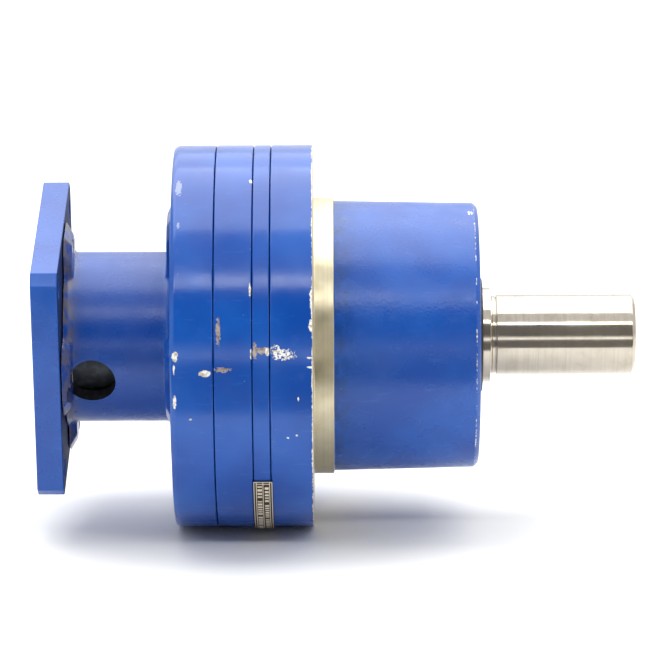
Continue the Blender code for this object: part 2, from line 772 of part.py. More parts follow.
def build_output_shaft(parent):
    """The output shaft and planet carrier in one piece, with a threaded centre hole in its tip."""
    step_r = COLLAR_R
    journal_r = INNER_BEARING[0] - GAP
    outer_journal_r = OUTER_BEARING[0] - GAP
    outline = [
        (CARRIER_START, 0),
        (CARRIER_START, CARRIER_R),
        (CARRIER_END, CARRIER_R),
        (CARRIER_END, 33.0),
        (INNER_BEARING[2] - GAP, 33.0),
        (INNER_BEARING[2] - GAP, journal_r),
        (INNER_BEARING[3] + 0.5, journal_r),
        (INNER_BEARING[3] + 0.5, outer_journal_r),
        (SHAFT_RING_GROOVE[0], outer_journal_r),
        (SHAFT_RING_GROOVE[0], 21.0),
        (SHAFT_RING_GROOVE[1], 21.0),
        (SHAFT_RING_GROOVE[1], step_r),
        (COLLAR_END, step_r),
        (COLLAR_END, RELIEF_R),
        (RELIEF_END, RELIEF_R),
        (RELIEF_END, SHAFT_R),
        (SHAFT_END - 1.8, SHAFT_R),
        (SHAFT_END, SHAFT_R - 1.8),
        (SHAFT_END, 0),
    ]
    shaft = add_object(
        "output_shaft",
        lathe(outline, FACETS_DISC),
        material("shaft_steel", GROUND_STEEL, 0.18, 1.0),
        parent,
    )
    centre = [
        (SHAFT_END - 28, 0),
        (SHAFT_END - 28, 5.1),
        (SHAFT_END - 2.5, 5.1),
        (SHAFT_END + 0.5, 8.0),
        (SHAFT_END + 0.5, 0),
    ]
    cut(shaft, lathe(centre, FACETS_SMALL), "centre_hole")
    pin_bore = PIN_R + GAP
    pins = holes(CARRIER_START - 1, PIN_END, CENTRE_DISTANCE, PLANET_ANGLES, pin_bore, FACETS_SMALL)
    cut(shaft, pins, "pins")
    circlip_start = SHAFT_RING_GROOVE[0] + GAP
    circlip_end = SHAFT_RING_GROOVE[1] - GAP
    build_circlip("shaft_circlip", circlip_start, circlip_end, 21.6, 26.5, 200.0, parent)
    sleeve_start = INNER_BEARING[3] + GAP
    sleeve_end = OUTER_BEARING[2] - GAP
    sleeve_r = bore_for(outer_journal_r, FACETS_DISC)
    sleeve = [
        (sleeve_start, 28.0 + GAP),
        (sleeve_start, 33.0),
        (sleeve_end, 28.0),
        (sleeve_end, sleeve_r),
        (sleeve_start + 2, sleeve_r),
        (sleeve_start + 2, 28.0 + GAP),
    ]
    add_object(
        "bearing_spacer_sleeve",
        lathe(sleeve, FACETS_MID),
        material("bearing_spacer_sleeve", GEAR_STEEL, 0.4, 0.9),
        parent,
    )


def build_carrier_cheek(parent):
    opening_r = MODULE * SUN_TEETH / 2 + MODULE + 2
    outline = [
        (CHEEK_START, opening_r),
        (CHEEK_END, opening_r),
        (CHEEK_END, CARRIER_R),
        (CHEEK_START, CARRIER_R),
    ]
    cheek = add_object(
        "carrier_cheek",
        lathe(outline, FACETS_DISC),
        material("carrier_cheek", GEAR_STEEL, 0.35, 0.9),
        parent,
    )
    bores = (CENTRE_DISTANCE, PLANET_ANGLES, PIN_R + GAP, FACETS_SMALL)
    cut(cheek, holes(CHEEK_START - 1, CHEEK_END + 1, *bores))
    for number, angle in enumerate(PLANET_ANGLES, start=1):
        pin = rod(
            polar(CHEEK_START, CENTRE_DISTANCE, angle),
            polar(PIN_END - GAP, CENTRE_DISTANCE, angle),
            PIN_R,
            FACETS_SMALL,
        )
        name = f"planet_pin_{number}"
        add_object(name, pin, material(name, GROUND_STEEL, 0.25, 1.0), parent)


def build_planets(output_axis):
    pitch_r = MODULE * PLANET_TEETH / 2
    outline = gear_outline(PLANET_TEETH, pitch_r - 1.25 * MODULE, pitch_r + MODULE, BACKLASH / 2, False)
    for number, angle in enumerate(PLANET_ANGLES, start=1):
        centre = polar(0, CENTRE_DISTANCE, angle)
        axis = axis_empty(f"planet_axis_{number}", centre, output_axis)
        place = Matrix.Translation(centre) @ turned_to(angle)
        gear = prism(outline, PLANET_START, PLANET_END)
        bmesh.ops.transform(gear, matrix=place, verts=gear.verts)
        name = f"planet_gear_{number}"
        planet = add_object(name, gear, material(name, GEAR_STEEL, 0.3, 0.9), axis)
        bore = (CENTRE_DISTANCE, (angle,), PLANET_BORE_R, FACETS_SMALL)
        cut(planet, holes(PLANET_START - 1, PLANET_END + 1, *bore))
        bush_inner = PIN_R / math.cos(math.pi / FACETS_SMALL) + 0.15
        ring = [
            (PLANET_START + GAP, bush_inner),
            (PLANET_END - GAP, bush_inner),
            (PLANET_END - GAP, BUSH_R),
            (PLANET_START + GAP, BUSH_R),
        ]
        bush = lathe(ring, FACETS_SMALL)
        bmesh.ops.transform(bush, matrix=place, verts=bush.verts)
        add_object(f"planet_bush_{number}", bush, material(f"planet_bush_{number}", BRONZE, 0.4, 0.9), axis)


def build_input_side(parent):
    """Input shaft with a slotted motor bore, its clamp ring and screw, and the sun gear."""
    journal_r = INPUT_BEARING[0] - GAP
    stub_r = SUN_STUB_R
    outline = [
        (PLANET_END, 0),
        (PLANET_END, stub_r),
        (SUN_RING_GROOVE[1], stub_r),
        (SUN_RING_GROOVE[1], SUN_RING_GROOVE_R),
        (SUN_RING_GROOVE[0], SUN_RING_GROOVE_R),
        (SUN_RING_GROOVE[0], stub_r),
        (PLANET_START - 1, stub_r),
        (PLANET_START - 1, SUN_SHOULDER_R),
        (INPUT_BEARING[3] + 1, SUN_SHOULDER_R),
        (INPUT_BEARING[3] + 1, journal_r),
        (CLAMP_END + 4, journal_r),
        (CLAMP_END + 2, HUB_R),
        (HUB_START, HUB_R),
        (HUB_START, MOTOR_SHAFT_R),
        (MOTOR_BORE_END, MOTOR_SHAFT_R),
        (MOTOR_BORE_END, MOTOR_SHAFT_R / 2),
        (MOTOR_BORE_END + 2, 0),
    ]
    hub = add_object(
        "input_shaft",
        lathe(outline, FACETS_MID),
        material("input_shaft", HUB_STEEL, 0.4, 0.8),
        parent,
    )
    slots = bmesh.new()
    for angle in (CLAMP_ANGLE, CLAMP_ANGLE + 180):
        slot_box(slots, HUB_START - 1, CLAMP_END, MOTOR_SHAFT_R / 2, HUB_R + 3, SLOT_HALF, angle)
    cut(hub, slots, "slots")
    ring_bore = bore_for(HUB_R, FACETS_MID)
    ring_outline = [
        (CLAMP_START, ring_bore),
        (CLAMP_END, ring_bore),
        (CLAMP_END, CLAMP_RING_R - 1),
        (CLAMP_END - 1, CLAMP_RING_R),
        (CLAMP_START + 1, CLAMP_RING_R),
        (CLAMP_START, CLAMP_RING_R - 1),
    ]
    browned = material("clamp_ring", HUB_STEEL, 0.45, 0.8)
    ring = add_object("clamp_ring", lathe(ring_outline, FACETS_DISC), browned, parent)
    slot_reach = (MOTOR_SHAFT_R, CLAMP_RING_R + 3, SLOT_HALF, CLAMP_ANGLE)
    cut(ring, slot_box(bmesh.new(), CLAMP_START - 1, CLAMP_END + 1, *slot_reach), "slot")
    middle = (CLAMP_START + CLAMP_END) / 2
    side = (polar(0, 1, CLAMP_ANGLE + 90)).normalized()
    screw_line = polar(middle, CLAMP_SCREW_OFFSET, CLAMP_ANGLE)
    shank_r, head_r, head_length = M6
    bore = rod(screw_line - side * 11, screw_line + side * 9, shank_r + 0.1, FACETS_SCREW)
    cut(ring, bore, "screw_hole")
    outside = screw_line + side * CLAMP_RING_R
    head_room = rod(screw_line + side * CLAMP_SEAT, outside, head_r + GAP, FACETS_SCREW)
    cut(ring, head_room, "head_room")
    sizes = (shank_r - 0.2, head_r - 0.2, head_length)
    build_screw("clamp_screw", screw_line + side * (CLAMP_SEAT + 0.2), -side, CLAMP_SCREW_LENGTH, sizes)
    bpy.data.objects["clamp_screw"].parent = parent
    pitch_r = MODULE * SUN_TEETH / 2
    teeth = gear_outline(SUN_TEETH, pitch_r - 1.25 * MODULE, pitch_r + MODULE, BACKLASH / 2)
    sun_outline = prism(teeth, PLANET_START, PLANET_END - 2)
    bmesh.ops.transform(sun_outline, matrix=turned_to(PLANET_ANGLES[0]), verts=sun_outline.verts)
    sun = add_object("sun_gear", sun_outline, material("sun_gear", GEAR_STEEL, 0.3, 0.9), parent)
    sun_bore = bore_for(stub_r, FACETS_MID)
    cut(sun, holes(PLANET_START - 1, PLANET_END + 1, 0, (0,), sun_bore, FACETS_MID), "bore")
    circlip_start = SUN_RING_GROOVE[0] + 0.2
    circlip_end = SUN_RING_GROOVE[1] - 0.2
    build_circlip("sun_gear_circlip", circlip_start, circlip_end, 10.0, 14.5, 60.0, parent)


def slot_box(bm, x_start, x_end, inner, outer, half_width, angle):
    """A straight slot cutter that points outwards at this angle."""
    corners = [(-inner, -half_width), (-outer, -half_width), (-outer, half_width), (-inner, half_width)]
    turn = turned_to(angle).to_3x3()
    outline = [(turn @ Vector((0, y, z))).yz for y, z in corners]
    return prism(outline, x_start, x_end, bm)


def build():
    clear_scene()
    build_motor_plate()
    build_coupling_housing()
    build_input_flange()
    build_ring_gear()
    build_spacer_ring()
    build_output_housing()
    build_o_rings()
    build_nameplate()
    output_axis = axis_empty("output_axis")
    input_axis = axis_empty("input_axis")
    input_cage_axis = axis_empty("input_cage_axis")
    inner_cage_axis = axis_empty("inner_cage_axis")
    outer_cage_axis = axis_empty("outer_cage_axis")
    build_bearing("input_bearing", INPUT_BEARING, input_axis, input_cage_axis)
    build_bearing("inner_bearing", INNER_BEARING, output_axis, inner_cage_axis)
    build_bearing("outer_bearing", OUTER_BEARING, output_axis, outer_cage_axis)
    build_output_shaft(output_axis)
    build_carrier_cheek(output_axis)
    build_planets(output_axis)
    build_input_side(input_axis)


build()
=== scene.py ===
import json
import math

import bmesh
import bpy
from mathutils import Matrix, Vector


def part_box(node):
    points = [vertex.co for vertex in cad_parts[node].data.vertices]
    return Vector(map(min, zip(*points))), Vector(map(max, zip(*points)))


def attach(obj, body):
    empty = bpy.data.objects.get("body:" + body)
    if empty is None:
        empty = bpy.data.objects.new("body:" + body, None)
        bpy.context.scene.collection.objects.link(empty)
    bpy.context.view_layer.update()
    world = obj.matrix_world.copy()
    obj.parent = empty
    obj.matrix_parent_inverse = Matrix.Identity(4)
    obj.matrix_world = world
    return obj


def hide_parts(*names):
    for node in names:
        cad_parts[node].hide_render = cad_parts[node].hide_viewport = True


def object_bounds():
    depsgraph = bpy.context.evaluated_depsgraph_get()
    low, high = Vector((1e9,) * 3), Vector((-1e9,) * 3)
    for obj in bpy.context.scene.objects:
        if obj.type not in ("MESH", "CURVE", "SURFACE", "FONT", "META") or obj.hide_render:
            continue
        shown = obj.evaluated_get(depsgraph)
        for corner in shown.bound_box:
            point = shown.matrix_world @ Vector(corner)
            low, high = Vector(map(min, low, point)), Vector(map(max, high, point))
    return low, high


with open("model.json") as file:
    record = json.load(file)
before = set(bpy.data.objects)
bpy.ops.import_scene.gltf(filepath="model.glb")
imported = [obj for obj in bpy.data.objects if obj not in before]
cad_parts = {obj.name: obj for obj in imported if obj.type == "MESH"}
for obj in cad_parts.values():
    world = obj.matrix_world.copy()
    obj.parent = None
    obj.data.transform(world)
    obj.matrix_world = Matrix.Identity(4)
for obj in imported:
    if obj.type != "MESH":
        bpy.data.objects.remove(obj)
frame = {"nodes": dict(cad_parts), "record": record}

# The looks of an inline gear reducer. X is the shaft axis, Z is up, and angles around X count from -Y up
# to +Z. Lengths of the object are in millimetres here, and become metres when a mesh or a material is made.
# The stage, its lights and the camera are in metres.

MM = 0.001
RECORD = frame["record"]
CAD_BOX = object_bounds()


def extent(node):
    """A node's start and end along X, and its largest distance from the axis along Y or Z."""
    low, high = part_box(node)
    reach = max(-low[1], -low[2], high[1], high[2])
    return low[0] / MM, high[0] / MM, reach / MM


PLATE_START, PLATE_END, _ = extent("motor_adapter_plate")
NECK_START, NECK_END, _ = extent("coupling_housing")
BOSS_START, FLANGE_END, DISC_R = extent("input_flange")
RING_START, RING_END, _ = extent("ring_gear")
SPACER_START, SPACER_END, _ = extent("spacer_ring")
OUTPUT_START, _, _ = extent("output_housing")
SEAL_START, SEAL_END, _ = extent("output_shaft_seal")
CARRIER_START, SHAFT_END, CARRIER_R = extent("output_shaft")
CLAMP_START, CLAMP_END, _ = extent("clamp_ring")
HUB_START, HUB_END, _ = extent("input_shaft")
LABEL_START, LABEL_END, _ = extent("nameplate")

GAP = 0.3
FACETS = 192
FACETS_HOLE = 48

# Motor plate and coupling neck.
PLATE_SIDE = 114.0
PLATE_CORNER_CUT = 7.0
PLATE_TURN = 31.5
PLATE_EDGE = 0.7
MOTOR_PILOT_R = 55.0
MOTOR_PILOT_DEPTH = 5.0
BOLT_CIRCLE_R = 65.0
BOLT_HOLE_R = 4.75
NECK_R = 40.0
NECK_BORE_R = 32.0
NECK_FILLET = 4.0
NECK_FACE = NECK_START + 4.0
NECK_VOXEL = 0.7
SPIGOT_R = 36.0
EAR_ANGLES = tuple(PLATE_TURN + 45 + 90 * turn for turn in range(4))
EAR_INNER_R = 34.5
EAR_HALF_WIDTH = 18.0
EAR_SLOPE = 6.0
PLATE_EAR_R = 56.0
PLATE_EAR_THICK = 4.0
FLANGE_EAR_R = 66.0
FLANGE_EAR_THICK = 3.0
ACCESS_X = -114.0
ACCESS_R = 11.0
ACCESS_ANGLE = -20.0

# The discs, the pilot and the nose. The first disc's front edge slopes by so much along X and inwards.
FLANGE_START = NECK_END + GAP
FIRST_DISC_SLOPE = (2.2, 1.2)
DISC_EDGE = 0.8
CHAMBER_START = -61.5
CHAMBER_R = CARRIER_R + 3
CHAMBER_END = -18.0
PILOT_START = -11.0
PILOT_R = 65.0
NOSE_START = -1.5
NOSE_R = (63.6, 62.3)
NOSE_END = 66.0
NOSE_EDGE = 2.0
LABEL_ANGLES = (-35.5, -77.0)

# The output shaft.
COLLAR_END = 72.0
COLLAR_R = 22.5
RELIEF_END = 74.8
RELIEF_R = 18.6
SHAFT_R = 19.0
PIN_CIRCLE_R = 40.5
PIN_ANGLES = (90, 210, 330)

# Screws and their holes.
SCREW_R = 3.0
SCREW_HEAD_R = 5.0
SCREW_HOLE_R = 3.5
HEAD_HOLE_R = 5.7
EAR_SCREW_R = 47.0
PLATE_SCREW_SEAT = PLATE_END - 3.0
NECK_SCREW_SEAT = -68.0
STACK_SCREW_R = 79.0
STACK_SCREW_SEAT = FLANGE_START + 7.0
STACK_ANGLES = tuple(range(15, 375, 60))
CUSTOMER_ANGLES = (0, 90, 180, 270)

# The ring gear's teeth.
RING_TEETH = 54
MODULE = 2.25
PRESSURE_ANGLE = math.radians(20)
HALF_BACKLASH = 0.08

# The clamp ring and its screw.
CLAMP_ANGLE = 120.0
CLAMP_R = 29.0
CLAMP_BORE_R = 18.6
CLAMP_SCREW_R = 23.0
SLOT_HALF = 1.0


# ---------------------------------------------------------------- geometry


def polar(x, radius, degrees):
    """The point at a station along X, a radius and an angle."""
    angle = math.radians(degrees)
    return Vector((x, -radius * math.cos(angle), radius * math.sin(angle)))


def turned_to(degrees):
    """The turn around X that takes angle 0 to this angle."""
    return Matrix.Rotation(-math.radians(degrees), 4, "X")


def softened(outline, radius, steps=3):
    """The outline with each corner off the axis turned into a small arc."""
    result = []
    count = len(outline)
    for i, (x, r) in enumerate(outline):
        here = Vector((x, r))
        before = Vector(outline[i - 1])
        after = Vector(outline[(i + 1) % count])
        if r == 0:
            result.append((x, r))
            continue
        cut = min(radius, 0.4 * (before - here).length, 0.4 * (after - here).length)
        start = here + (before - here).normalized() * cut
        end = here + (after - here).normalized() * cut
        for step in range(steps + 1):
            t = step / steps
            point = start * (1 - t) ** 2 + here * 2 * t * (1 - t) + end * t**2
            result.append((point.x, point.y))
    return result


def lathe(outline, facets=FACETS):
    """Spins a closed outline of (x, radius) points around X."""
    bm = bmesh.new()
    points = [bm.verts.new((x, -radius, 0)) for x, radius in outline]
    edges = [bm.edges.new((points[i - 1], points[i])) for i in range(len(points))]
    if outline[0][1] == 0 and outline[-1][1] == 0:
        bm.edges.remove(edges[0])
        edges = edges[1:]
    bmesh.ops.spin(
        bm,
        geom=points + edges,
        axis=(1, 0, 0),
        cent=(0, 0, 0),
        angle=2 * math.pi,
        steps=facets,
        use_merge=True,
    )
    return bm


def prism(outline, x_start, x_end):
    """Extrudes a closed outline of (y, z) points along X."""
    bm = bmesh.new()
    face = bm.faces.new([bm.verts.new((x_start, y, z)) for y, z in outline])
    made = bmesh.ops.extrude_face_region(bm, geom=[face])
    moved = [item for item in made["geom"] if isinstance(item, bmesh.types.BMVert)]
    bmesh.ops.translate(bm, vec=(x_end - x_start, 0, 0), verts=moved)
    return bm


def rod(start, end, radius, facets=FACETS_HOLE):
    """A plain cylinder between two points."""
    bm = bmesh.new()
    along = Vector(end) - Vector(start)
    turn = along.to_track_quat("Z", "Y").to_matrix().to_4x4()
    place = Matrix.Translation((Vector(start) + Vector(end)) / 2)
    bmesh.ops.create_cone(
        bm,
        cap_ends=True,
        segments=facets,
        radius1=radius,
        radius2=radius,
        depth=along.length,
        matrix=place @ turn,
    )
    return bm


def gathered(shells):
    """Several bmeshes in one."""
    bm = bmesh.new()
    for shell in shells:
        mesh = bpy.data.meshes.new("shell")
        shell.to_mesh(mesh)
        shell.free()
        bm.from_mesh(mesh)
        bpy.data.meshes.remove(mesh)
    return bm


def add_piece(name, bm):
    """A smooth-shaded object in metres, from a bmesh in millimetres, which it uses up."""
    bmesh.ops.remove_doubles(bm, verts=bm.verts, dist=1e-4)
    bmesh.ops.recalc_face_normals(bm, faces=bm.faces)
    bmesh.ops.scale(bm, vec=(MM, MM, MM), verts=bm.verts)
    mesh = bpy.data.meshes.new(name)
    bm.to_mesh(mesh)
    bm.free()
    mesh.shade_smooth()
    piece = bpy.data.objects.new(name, mesh)
    bpy.context.scene.collection.objects.link(piece)
    return piece


def combine(piece, bm, operation):
    """Cuts the solids in bm from the piece, or joins them to it, for good."""
    helper = add_piece(f"{piece.name}_helper", bm)
    change = piece.modifiers.new("combine", "BOOLEAN")
    change.operation = operation
    change.solver = "MANIFOLD"
    change.object = helper
    bake_modifiers(piece)
    bpy.data.objects.remove(helper, do_unlink=True)


def bake_modifiers(piece):
    """Replaces the piece's mesh by what its modifiers make of it."""
    graph = bpy.context.evaluated_depsgraph_get()
    mesh = bpy.data.meshes.new_from_object(piece.evaluated_get(graph))
    old = piece.data
    piece.modifiers.clear()
    piece.data = mesh
    bpy.data.meshes.remove(old)


def cut(piece, cutters):
    combine(piece, gathered(cutters), "DIFFERENCE")


def even_normals(piece):
    """Keeps flat faces flat next to their small rounded edges."""
    piece.data.shade_smooth()
    piece.data.set_sharp_from_angle(angle=math.radians(50))
    piece.modifiers.new("normals", "WEIGHTED_NORMAL").keep_sharp = True


def hole(x_head, x_seat, x_end, circle_r, angle, head_r=HEAD_HOLE_R, shank_r=SCREW_HOLE_R, bevel=0.4):
    """A cutter for a counterbored hole along X with a broken edge at its mouth."""
    way = math.copysign(1.0, x_end - x_head)
    outline = [
        (x_head - way, 0),
        (x_head - way, head_r + bevel + 1.0),
        (x_head, head_r + bevel),
        (x_head + way * bevel, head_r),
        (x_seat, head_r),
        (x_seat, shank_r),
        (x_end, shank_r),
        (x_end, 0),
    ]
    shell = lathe(outline, FACETS_HOLE)
    bmesh.ops.translate(shell, vec=polar(0, circle_r, angle), verts=shell.verts)
    return shell


def body_of_node(node):
    for body, nodes in RECORD["behaviour"]["bodies"].items():
        if node in nodes:
            return body


def slot_of_node(node):
    for row in RECORD["subparts"]:
        if row["node"] == node:
            return row["material_slot"]


def stand_for(piece, node, *materials):
    """The piece takes a CAD node's place, on its body, with the materials given."""
    even_normals(piece)
    piece.data.materials.clear()
    for finish in materials:
        piece.data.materials.append(finish)
    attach(piece, body_of_node(node))
    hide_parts(node)
    return piece


def involute(angle):
    return math.tan(angle) - angle


def ring_spaces(steps=6):
    """The outline that the ring gear's tooth spaces and bore make together."""
    pitch_r = MODULE * RING_TEETH / 2
    base_r = pitch_r * math.cos(PRESSURE_ANGLE)
    half = math.pi / (2 * RING_TEETH) + HALF_BACKLASH / pitch_r
    inner_r = pitch_r - MODULE
    outer_r = pitch_r + 1.25 * MODULE
    flank = []
    for step in range(steps + 1):
        radius = inner_r + (outer_r - inner_r) * step / steps
        pressure = math.acos(base_r / radius)
        flank.append((radius, half + involute(PRESSURE_ANGLE) - involute(pressure)))
    points = []
    for tooth in range(RING_TEETH):
        middle = math.radians(90) + (tooth + 0.5) * 2 * math.pi / RING_TEETH
        points += [(radius, middle - angle) for radius, angle in flank]
        points += [(radius, middle + angle) for radius, angle in reversed(flank)]
    return [(-radius * math.cos(angle), radius * math.sin(angle)) for radius, angle in points]


# ---------------------------------------------------------------- materials


class Finish:
    """A material under construction, with short calls for the nodes it needs."""

    def __init__(self, name, roughness, metallic=0.0, colour=(0.5, 0.5, 0.5)):
        self.material = bpy.data.materials.new(name)
        self.material.use_nodes = True
        self.tree = self.material.node_tree
        self.shader = self.tree.nodes["Principled BSDF"]
        self.shader.inputs["Roughness"].default_value = roughness
        self.shader.inputs["Metallic"].default_value = metallic
        self.shader.inputs["Base Color"].default_value = (*colour, 1)
        self.place = self.node("ShaderNodeTexCoord").outputs["Object"]

    def node(self, kind, inputs=None, **settings):
        made = self.tree.nodes.new(kind)
        for key, value in settings.items():
            setattr(made, key, value)
        for key, value in (inputs or {}).items():
            if isinstance(value, bpy.types.NodeSocket):
                self.tree.links.new(value, made.inputs[key])
            else:
                made.inputs[key].default_value = value
        return made

    def maths(self, operation, first, second=0.0, clamp=False):
        made = self.node("ShaderNodeMath", {0: first, 1: second}, operation=operation, use_clamp=clamp)
        return made.outputs[0]

    def vector(self, operation, first, second=(0, 0, 0)):
        made = self.node("ShaderNodeVectorMath", {0: first, 1: second}, operation=operation)
        return made.outputs["Value" if operation == "LENGTH" else "Vector"]

    def noise(self, size_mm, detail=2.0, stretch=(1, 1, 1), roughness=0.5, distortion=0.0, seed=0.0):
        """Noise whose features are about size_mm, longer along an axis whose stretch is above 1."""
        scaled = self.vector("MULTIPLY", self.place, tuple(1 / (s * size_mm * MM) for s in stretch))
        moved = self.vector("ADD", scaled, (seed, seed * 1.7, seed * 2.3))
        inputs = {
            "Vector": moved,
            "Scale": 1.0,
            "Detail": detail,
            "Roughness": roughness,
            "Distortion": distortion,
        }
        return self.node("ShaderNodeTexNoise", inputs).outputs["Fac"]

    def step(self, value, low, high, to_low=0.0, to_high=1.0):
        """Goes smoothly from to_low to to_high as the value goes from low to high."""
        made = self.node(
            "ShaderNodeMapRange",
            {0: value, 1: low, 2: high, 3: to_low, 4: to_high},
            interpolation_type="SMOOTHSTEP",
        )
        return made.outputs[0]

    def colours(self, factor, first, second):
        """A blend of two colours, each a tuple or a socket."""
        made = self.node("ShaderNodeMix", {0: factor}, data_type="RGBA")
        for socket, value in ((made.inputs[6], first), (made.inputs[7], second)):
            if isinstance(value, bpy.types.NodeSocket):
                self.tree.links.new(value, socket)
            else:
                socket.default_value = (*value, 1)
        return made.outputs[2]

    def coordinate(self, axis):
        split = self.node("ShaderNodeSeparateXYZ", {0: self.place})
        return split.outputs[axis]

    def spot(self, centre_mm, along_mm, around_mm, ragged=0.35, grain_mm=1.2, seed=0.0):
        """1 inside a ragged patch around a point: its half lengths along X and around the axis."""
        offset = self.vector("SUBTRACT", self.place, tuple(c * MM for c in centre_mm))
        scaled = self.vector(
            "MULTIPLY", offset, (1 / (along_mm * MM), 1 / (around_mm * MM), 1 / (around_mm * MM))
        )
        distance = self.vector("LENGTH", scaled)
        rough = self.noise(grain_mm, 3.0, seed=seed)
        bend = self.maths("MULTIPLY", self.maths("SUBTRACT", rough, 0.5), 4 * ragged)
        return self.step(self.maths("ADD", distance, bend), 1.0, 0.85)

    def near(self, axis_value, at_mm, reach_mm):
        """1 at a station along an axis, falling to 0 at reach_mm away."""
        away = self.maths("ABSOLUTE", self.maths("SUBTRACT", axis_value, at_mm * MM))
        return self.step(away, reach_mm * MM, 0.0)

    def most(self, values):
        result = values[0]
        for value in values[1:]:
            result = self.maths("MAXIMUM", result, value)
        return result

    def bump(self, heights):
        """Adds bumps one on another. heights holds (height socket, millimetres)."""
        normal = None
        for height, depth_mm in heights:
            inputs = {"Height": height, "Distance": depth_mm * MM, "Strength": 1.0}
            made = self.node("ShaderNodeBump", inputs)
            if normal:
                self.tree.links.new(normal, made.inputs["Normal"])
            normal = made.outputs["Normal"]
        self.link(normal, "Normal")

    def link(self, value, socket):
        self.tree.links.new(value, self.shader.inputs[socket])


BLUE = (0.0045, 0.068, 0.350)
BLUE_DARK = (0.0035, 0.057, 0.315)
BLUE_LIGHT = (0.0075, 0.083, 0.390)
BLUE_STREAK = (0.03, 0.14, 0.50)
BLUE_HAZE = (0.10, 0.17, 0.40)
# Painted shade in the paint's small pits.
BLUE_PIT_SHADE = (0.004, 0.02, 0.10)
# Painted shade for the nose next to the pilot.
BLUE_SHADE = (0.004, 0.03, 0.12)
PRIMER = (0.80, 0.79, 0.74)
BARE = (0.42, 0.37, 0.28)
RUST = (0.23, 0.16, 0.11)
STAIN_LIGHT = (0.42, 0.36, 0.28)
DIRT = (0.15, 0.125, 0.10)
RUBBED = (0.42, 0.47, 0.62)
RUBBER_BLACK = (0.018, 0.018, 0.02)
RUBBER_DUST = (0.07, 0.065, 0.06)
LABEL_GROUND = (0.010, 0.006, 0.005)
LABEL_WORN = (0.12, 0.07, 0.05)


def blue_enamel(
    name,
    grain_mm,
    grain_depth,
    gloss=(0.15, 0.24),
    edges=(),
    spots=(),
    speckled=(),
    stains=(),
    rubs=(),
    grime=(),
):
    """Blue enamel over metal, with its lowest and highest roughness in gloss.

    edges holds (axis, station, reach, how much of it is worn). grime holds (station, reach, strength,
    colour) along X: bands of dirt and bands of painted shade, each darkening the paint towards its colour.
    The
    others hold (centre, half length along X, half length around): in spots the paint is off, in speckled
    partly off, in stains it is brown, and in rubs only paler.
    speckled partly off, in stains it is brown, and in rubs only paler.
    """
    f = Finish(name, gloss[0], 0.0, BLUE)
    cloud = f.noise(34, 2.0, seed=3.1)
    base = f.colours(f.step(cloud, 0.35, 0.7), BLUE_DARK, BLUE_LIGHT)
    fine = f.noise(1.6, 3.0, stretch=(6, 1, 1), seed=5.0)
    base = f.colours(f.step(fine, 0.60, 0.78, 0.0, 0.30), base, BLUE_STREAK)
    rub = f.noise(12, 4.0, roughness=0.6, seed=9.0)
    base = f.colours(f.step(rub, 0.58, 0.80, 0.0, 0.14), base, BLUE_HAZE)
    # Small dark blue specks: painted shade standing in for pits in the paint.
    dark = f.noise(0.9, 1.0, seed=13.0)
    base = f.colours(f.step(dark, 0.76, 0.80, 0.0, 0.5), base, BLUE_PIT_SHADE)
    # Bands along X, darkened towards a colour: brown dirt on the neck by the plate, and painted shade by the
    # first disc and by the pilot.
    for at, reach, strength, colour in grime:
        close = f.near(f.coordinate("X"), at, reach)
        uneven = f.step(f.noise(5.0, 4.0, stretch=(0.6, 1, 1), seed=15.0), 0.30, 0.62)
        base = f.colours(f.maths("MULTIPLY", f.maths("MULTIPLY", close, uneven), strength), base, colour)

    worn = []
    for number, (axis, at, reach, amount) in enumerate(edges):
        ragged = f.noise(1.3, 4.0, roughness=0.7, seed=20.0 + number)
        patchy = f.noise(9.0, 2.0, seed=40.0 + number)
        close = f.near(f.coordinate(axis), at, reach)
        wanted = f.maths("ADD", f.maths("MULTIPLY", close, amount), f.maths("MULTIPLY", patchy, 0.55))
        worn.append(f.step(f.maths("ADD", wanted, f.maths("MULTIPLY", ragged, 0.75)), 1.08, 1.14))
    for number, (centre, along, around) in enumerate(spots):
        worn.append(f.spot(centre, along, around, 0.45, 1.8, seed=60.0 + number))
    for number, (centre, along, around) in enumerate(speckled):
        flecks = f.step(f.noise(0.9, 3.0, seed=70.0 + number), 0.44, 0.50)
        worn.append(f.maths("MULTIPLY", f.spot(centre, along, around, seed=75.0 + number), flecks))
    specks = f.noise(1.1, 1.0, seed=80.0)
    worn.append(f.step(specks, 0.83, 0.845))
    chipped = f.most(worn)
    inner = f.noise(1.4, 3.0, seed=90.0)
    chip_colour = f.colours(f.step(inner, 0.36, 0.56), BARE, PRIMER)
    for number, (centre, along, around) in enumerate(stains):
        mark = f.spot(centre, along, around, ragged=0.5, grain_mm=1.6, seed=120.0 + number)
        tone = f.colours(f.step(f.noise(1.5, 3.0, seed=130.0 + number), 0.4, 0.6), RUST, STAIN_LIGHT)
        base = f.colours(f.maths("MULTIPLY", mark, 0.85), base, tone)
    for number, (centre, along, around) in enumerate(rubs):
        mark = f.spot(centre, along, around, ragged=0.5, grain_mm=1.1, seed=150.0 + number)
        base = f.colours(f.maths("MULTIPLY", mark, 0.5), base, RUBBED)
    f.link(f.colours(chipped, base, chip_colour), "Base Color")

    shine = f.step(f.noise(14, 3.0, seed=7.0), 0.3, 0.75, *gloss)
    f.link(f.maths("ADD", shine, f.maths("MULTIPLY", chipped, 0.3)), "Roughness")
    peel = f.noise(grain_mm, 3.0, seed=1.0)
    brushed = f.noise(1.2, 2.0, stretch=(8, 1, 1), seed=2.0)
    f.bump([(peel, grain_depth), (brushed, 0.008), (f.maths("SUBTRACT", 1.0, chipped), 0.06)])
    return f.material


def disc_enamel(name, **wear):
    """The smooth paint of the turned discs."""
    return blue_enamel(name, 3.0, 0.02, **wear)


def cast_enamel(name, **wear):
    """The same paint over a cast skin, duller and grainier."""
    return blue_enamel(name, 1.2, 0.075, (0.25, 0.35), **wear)


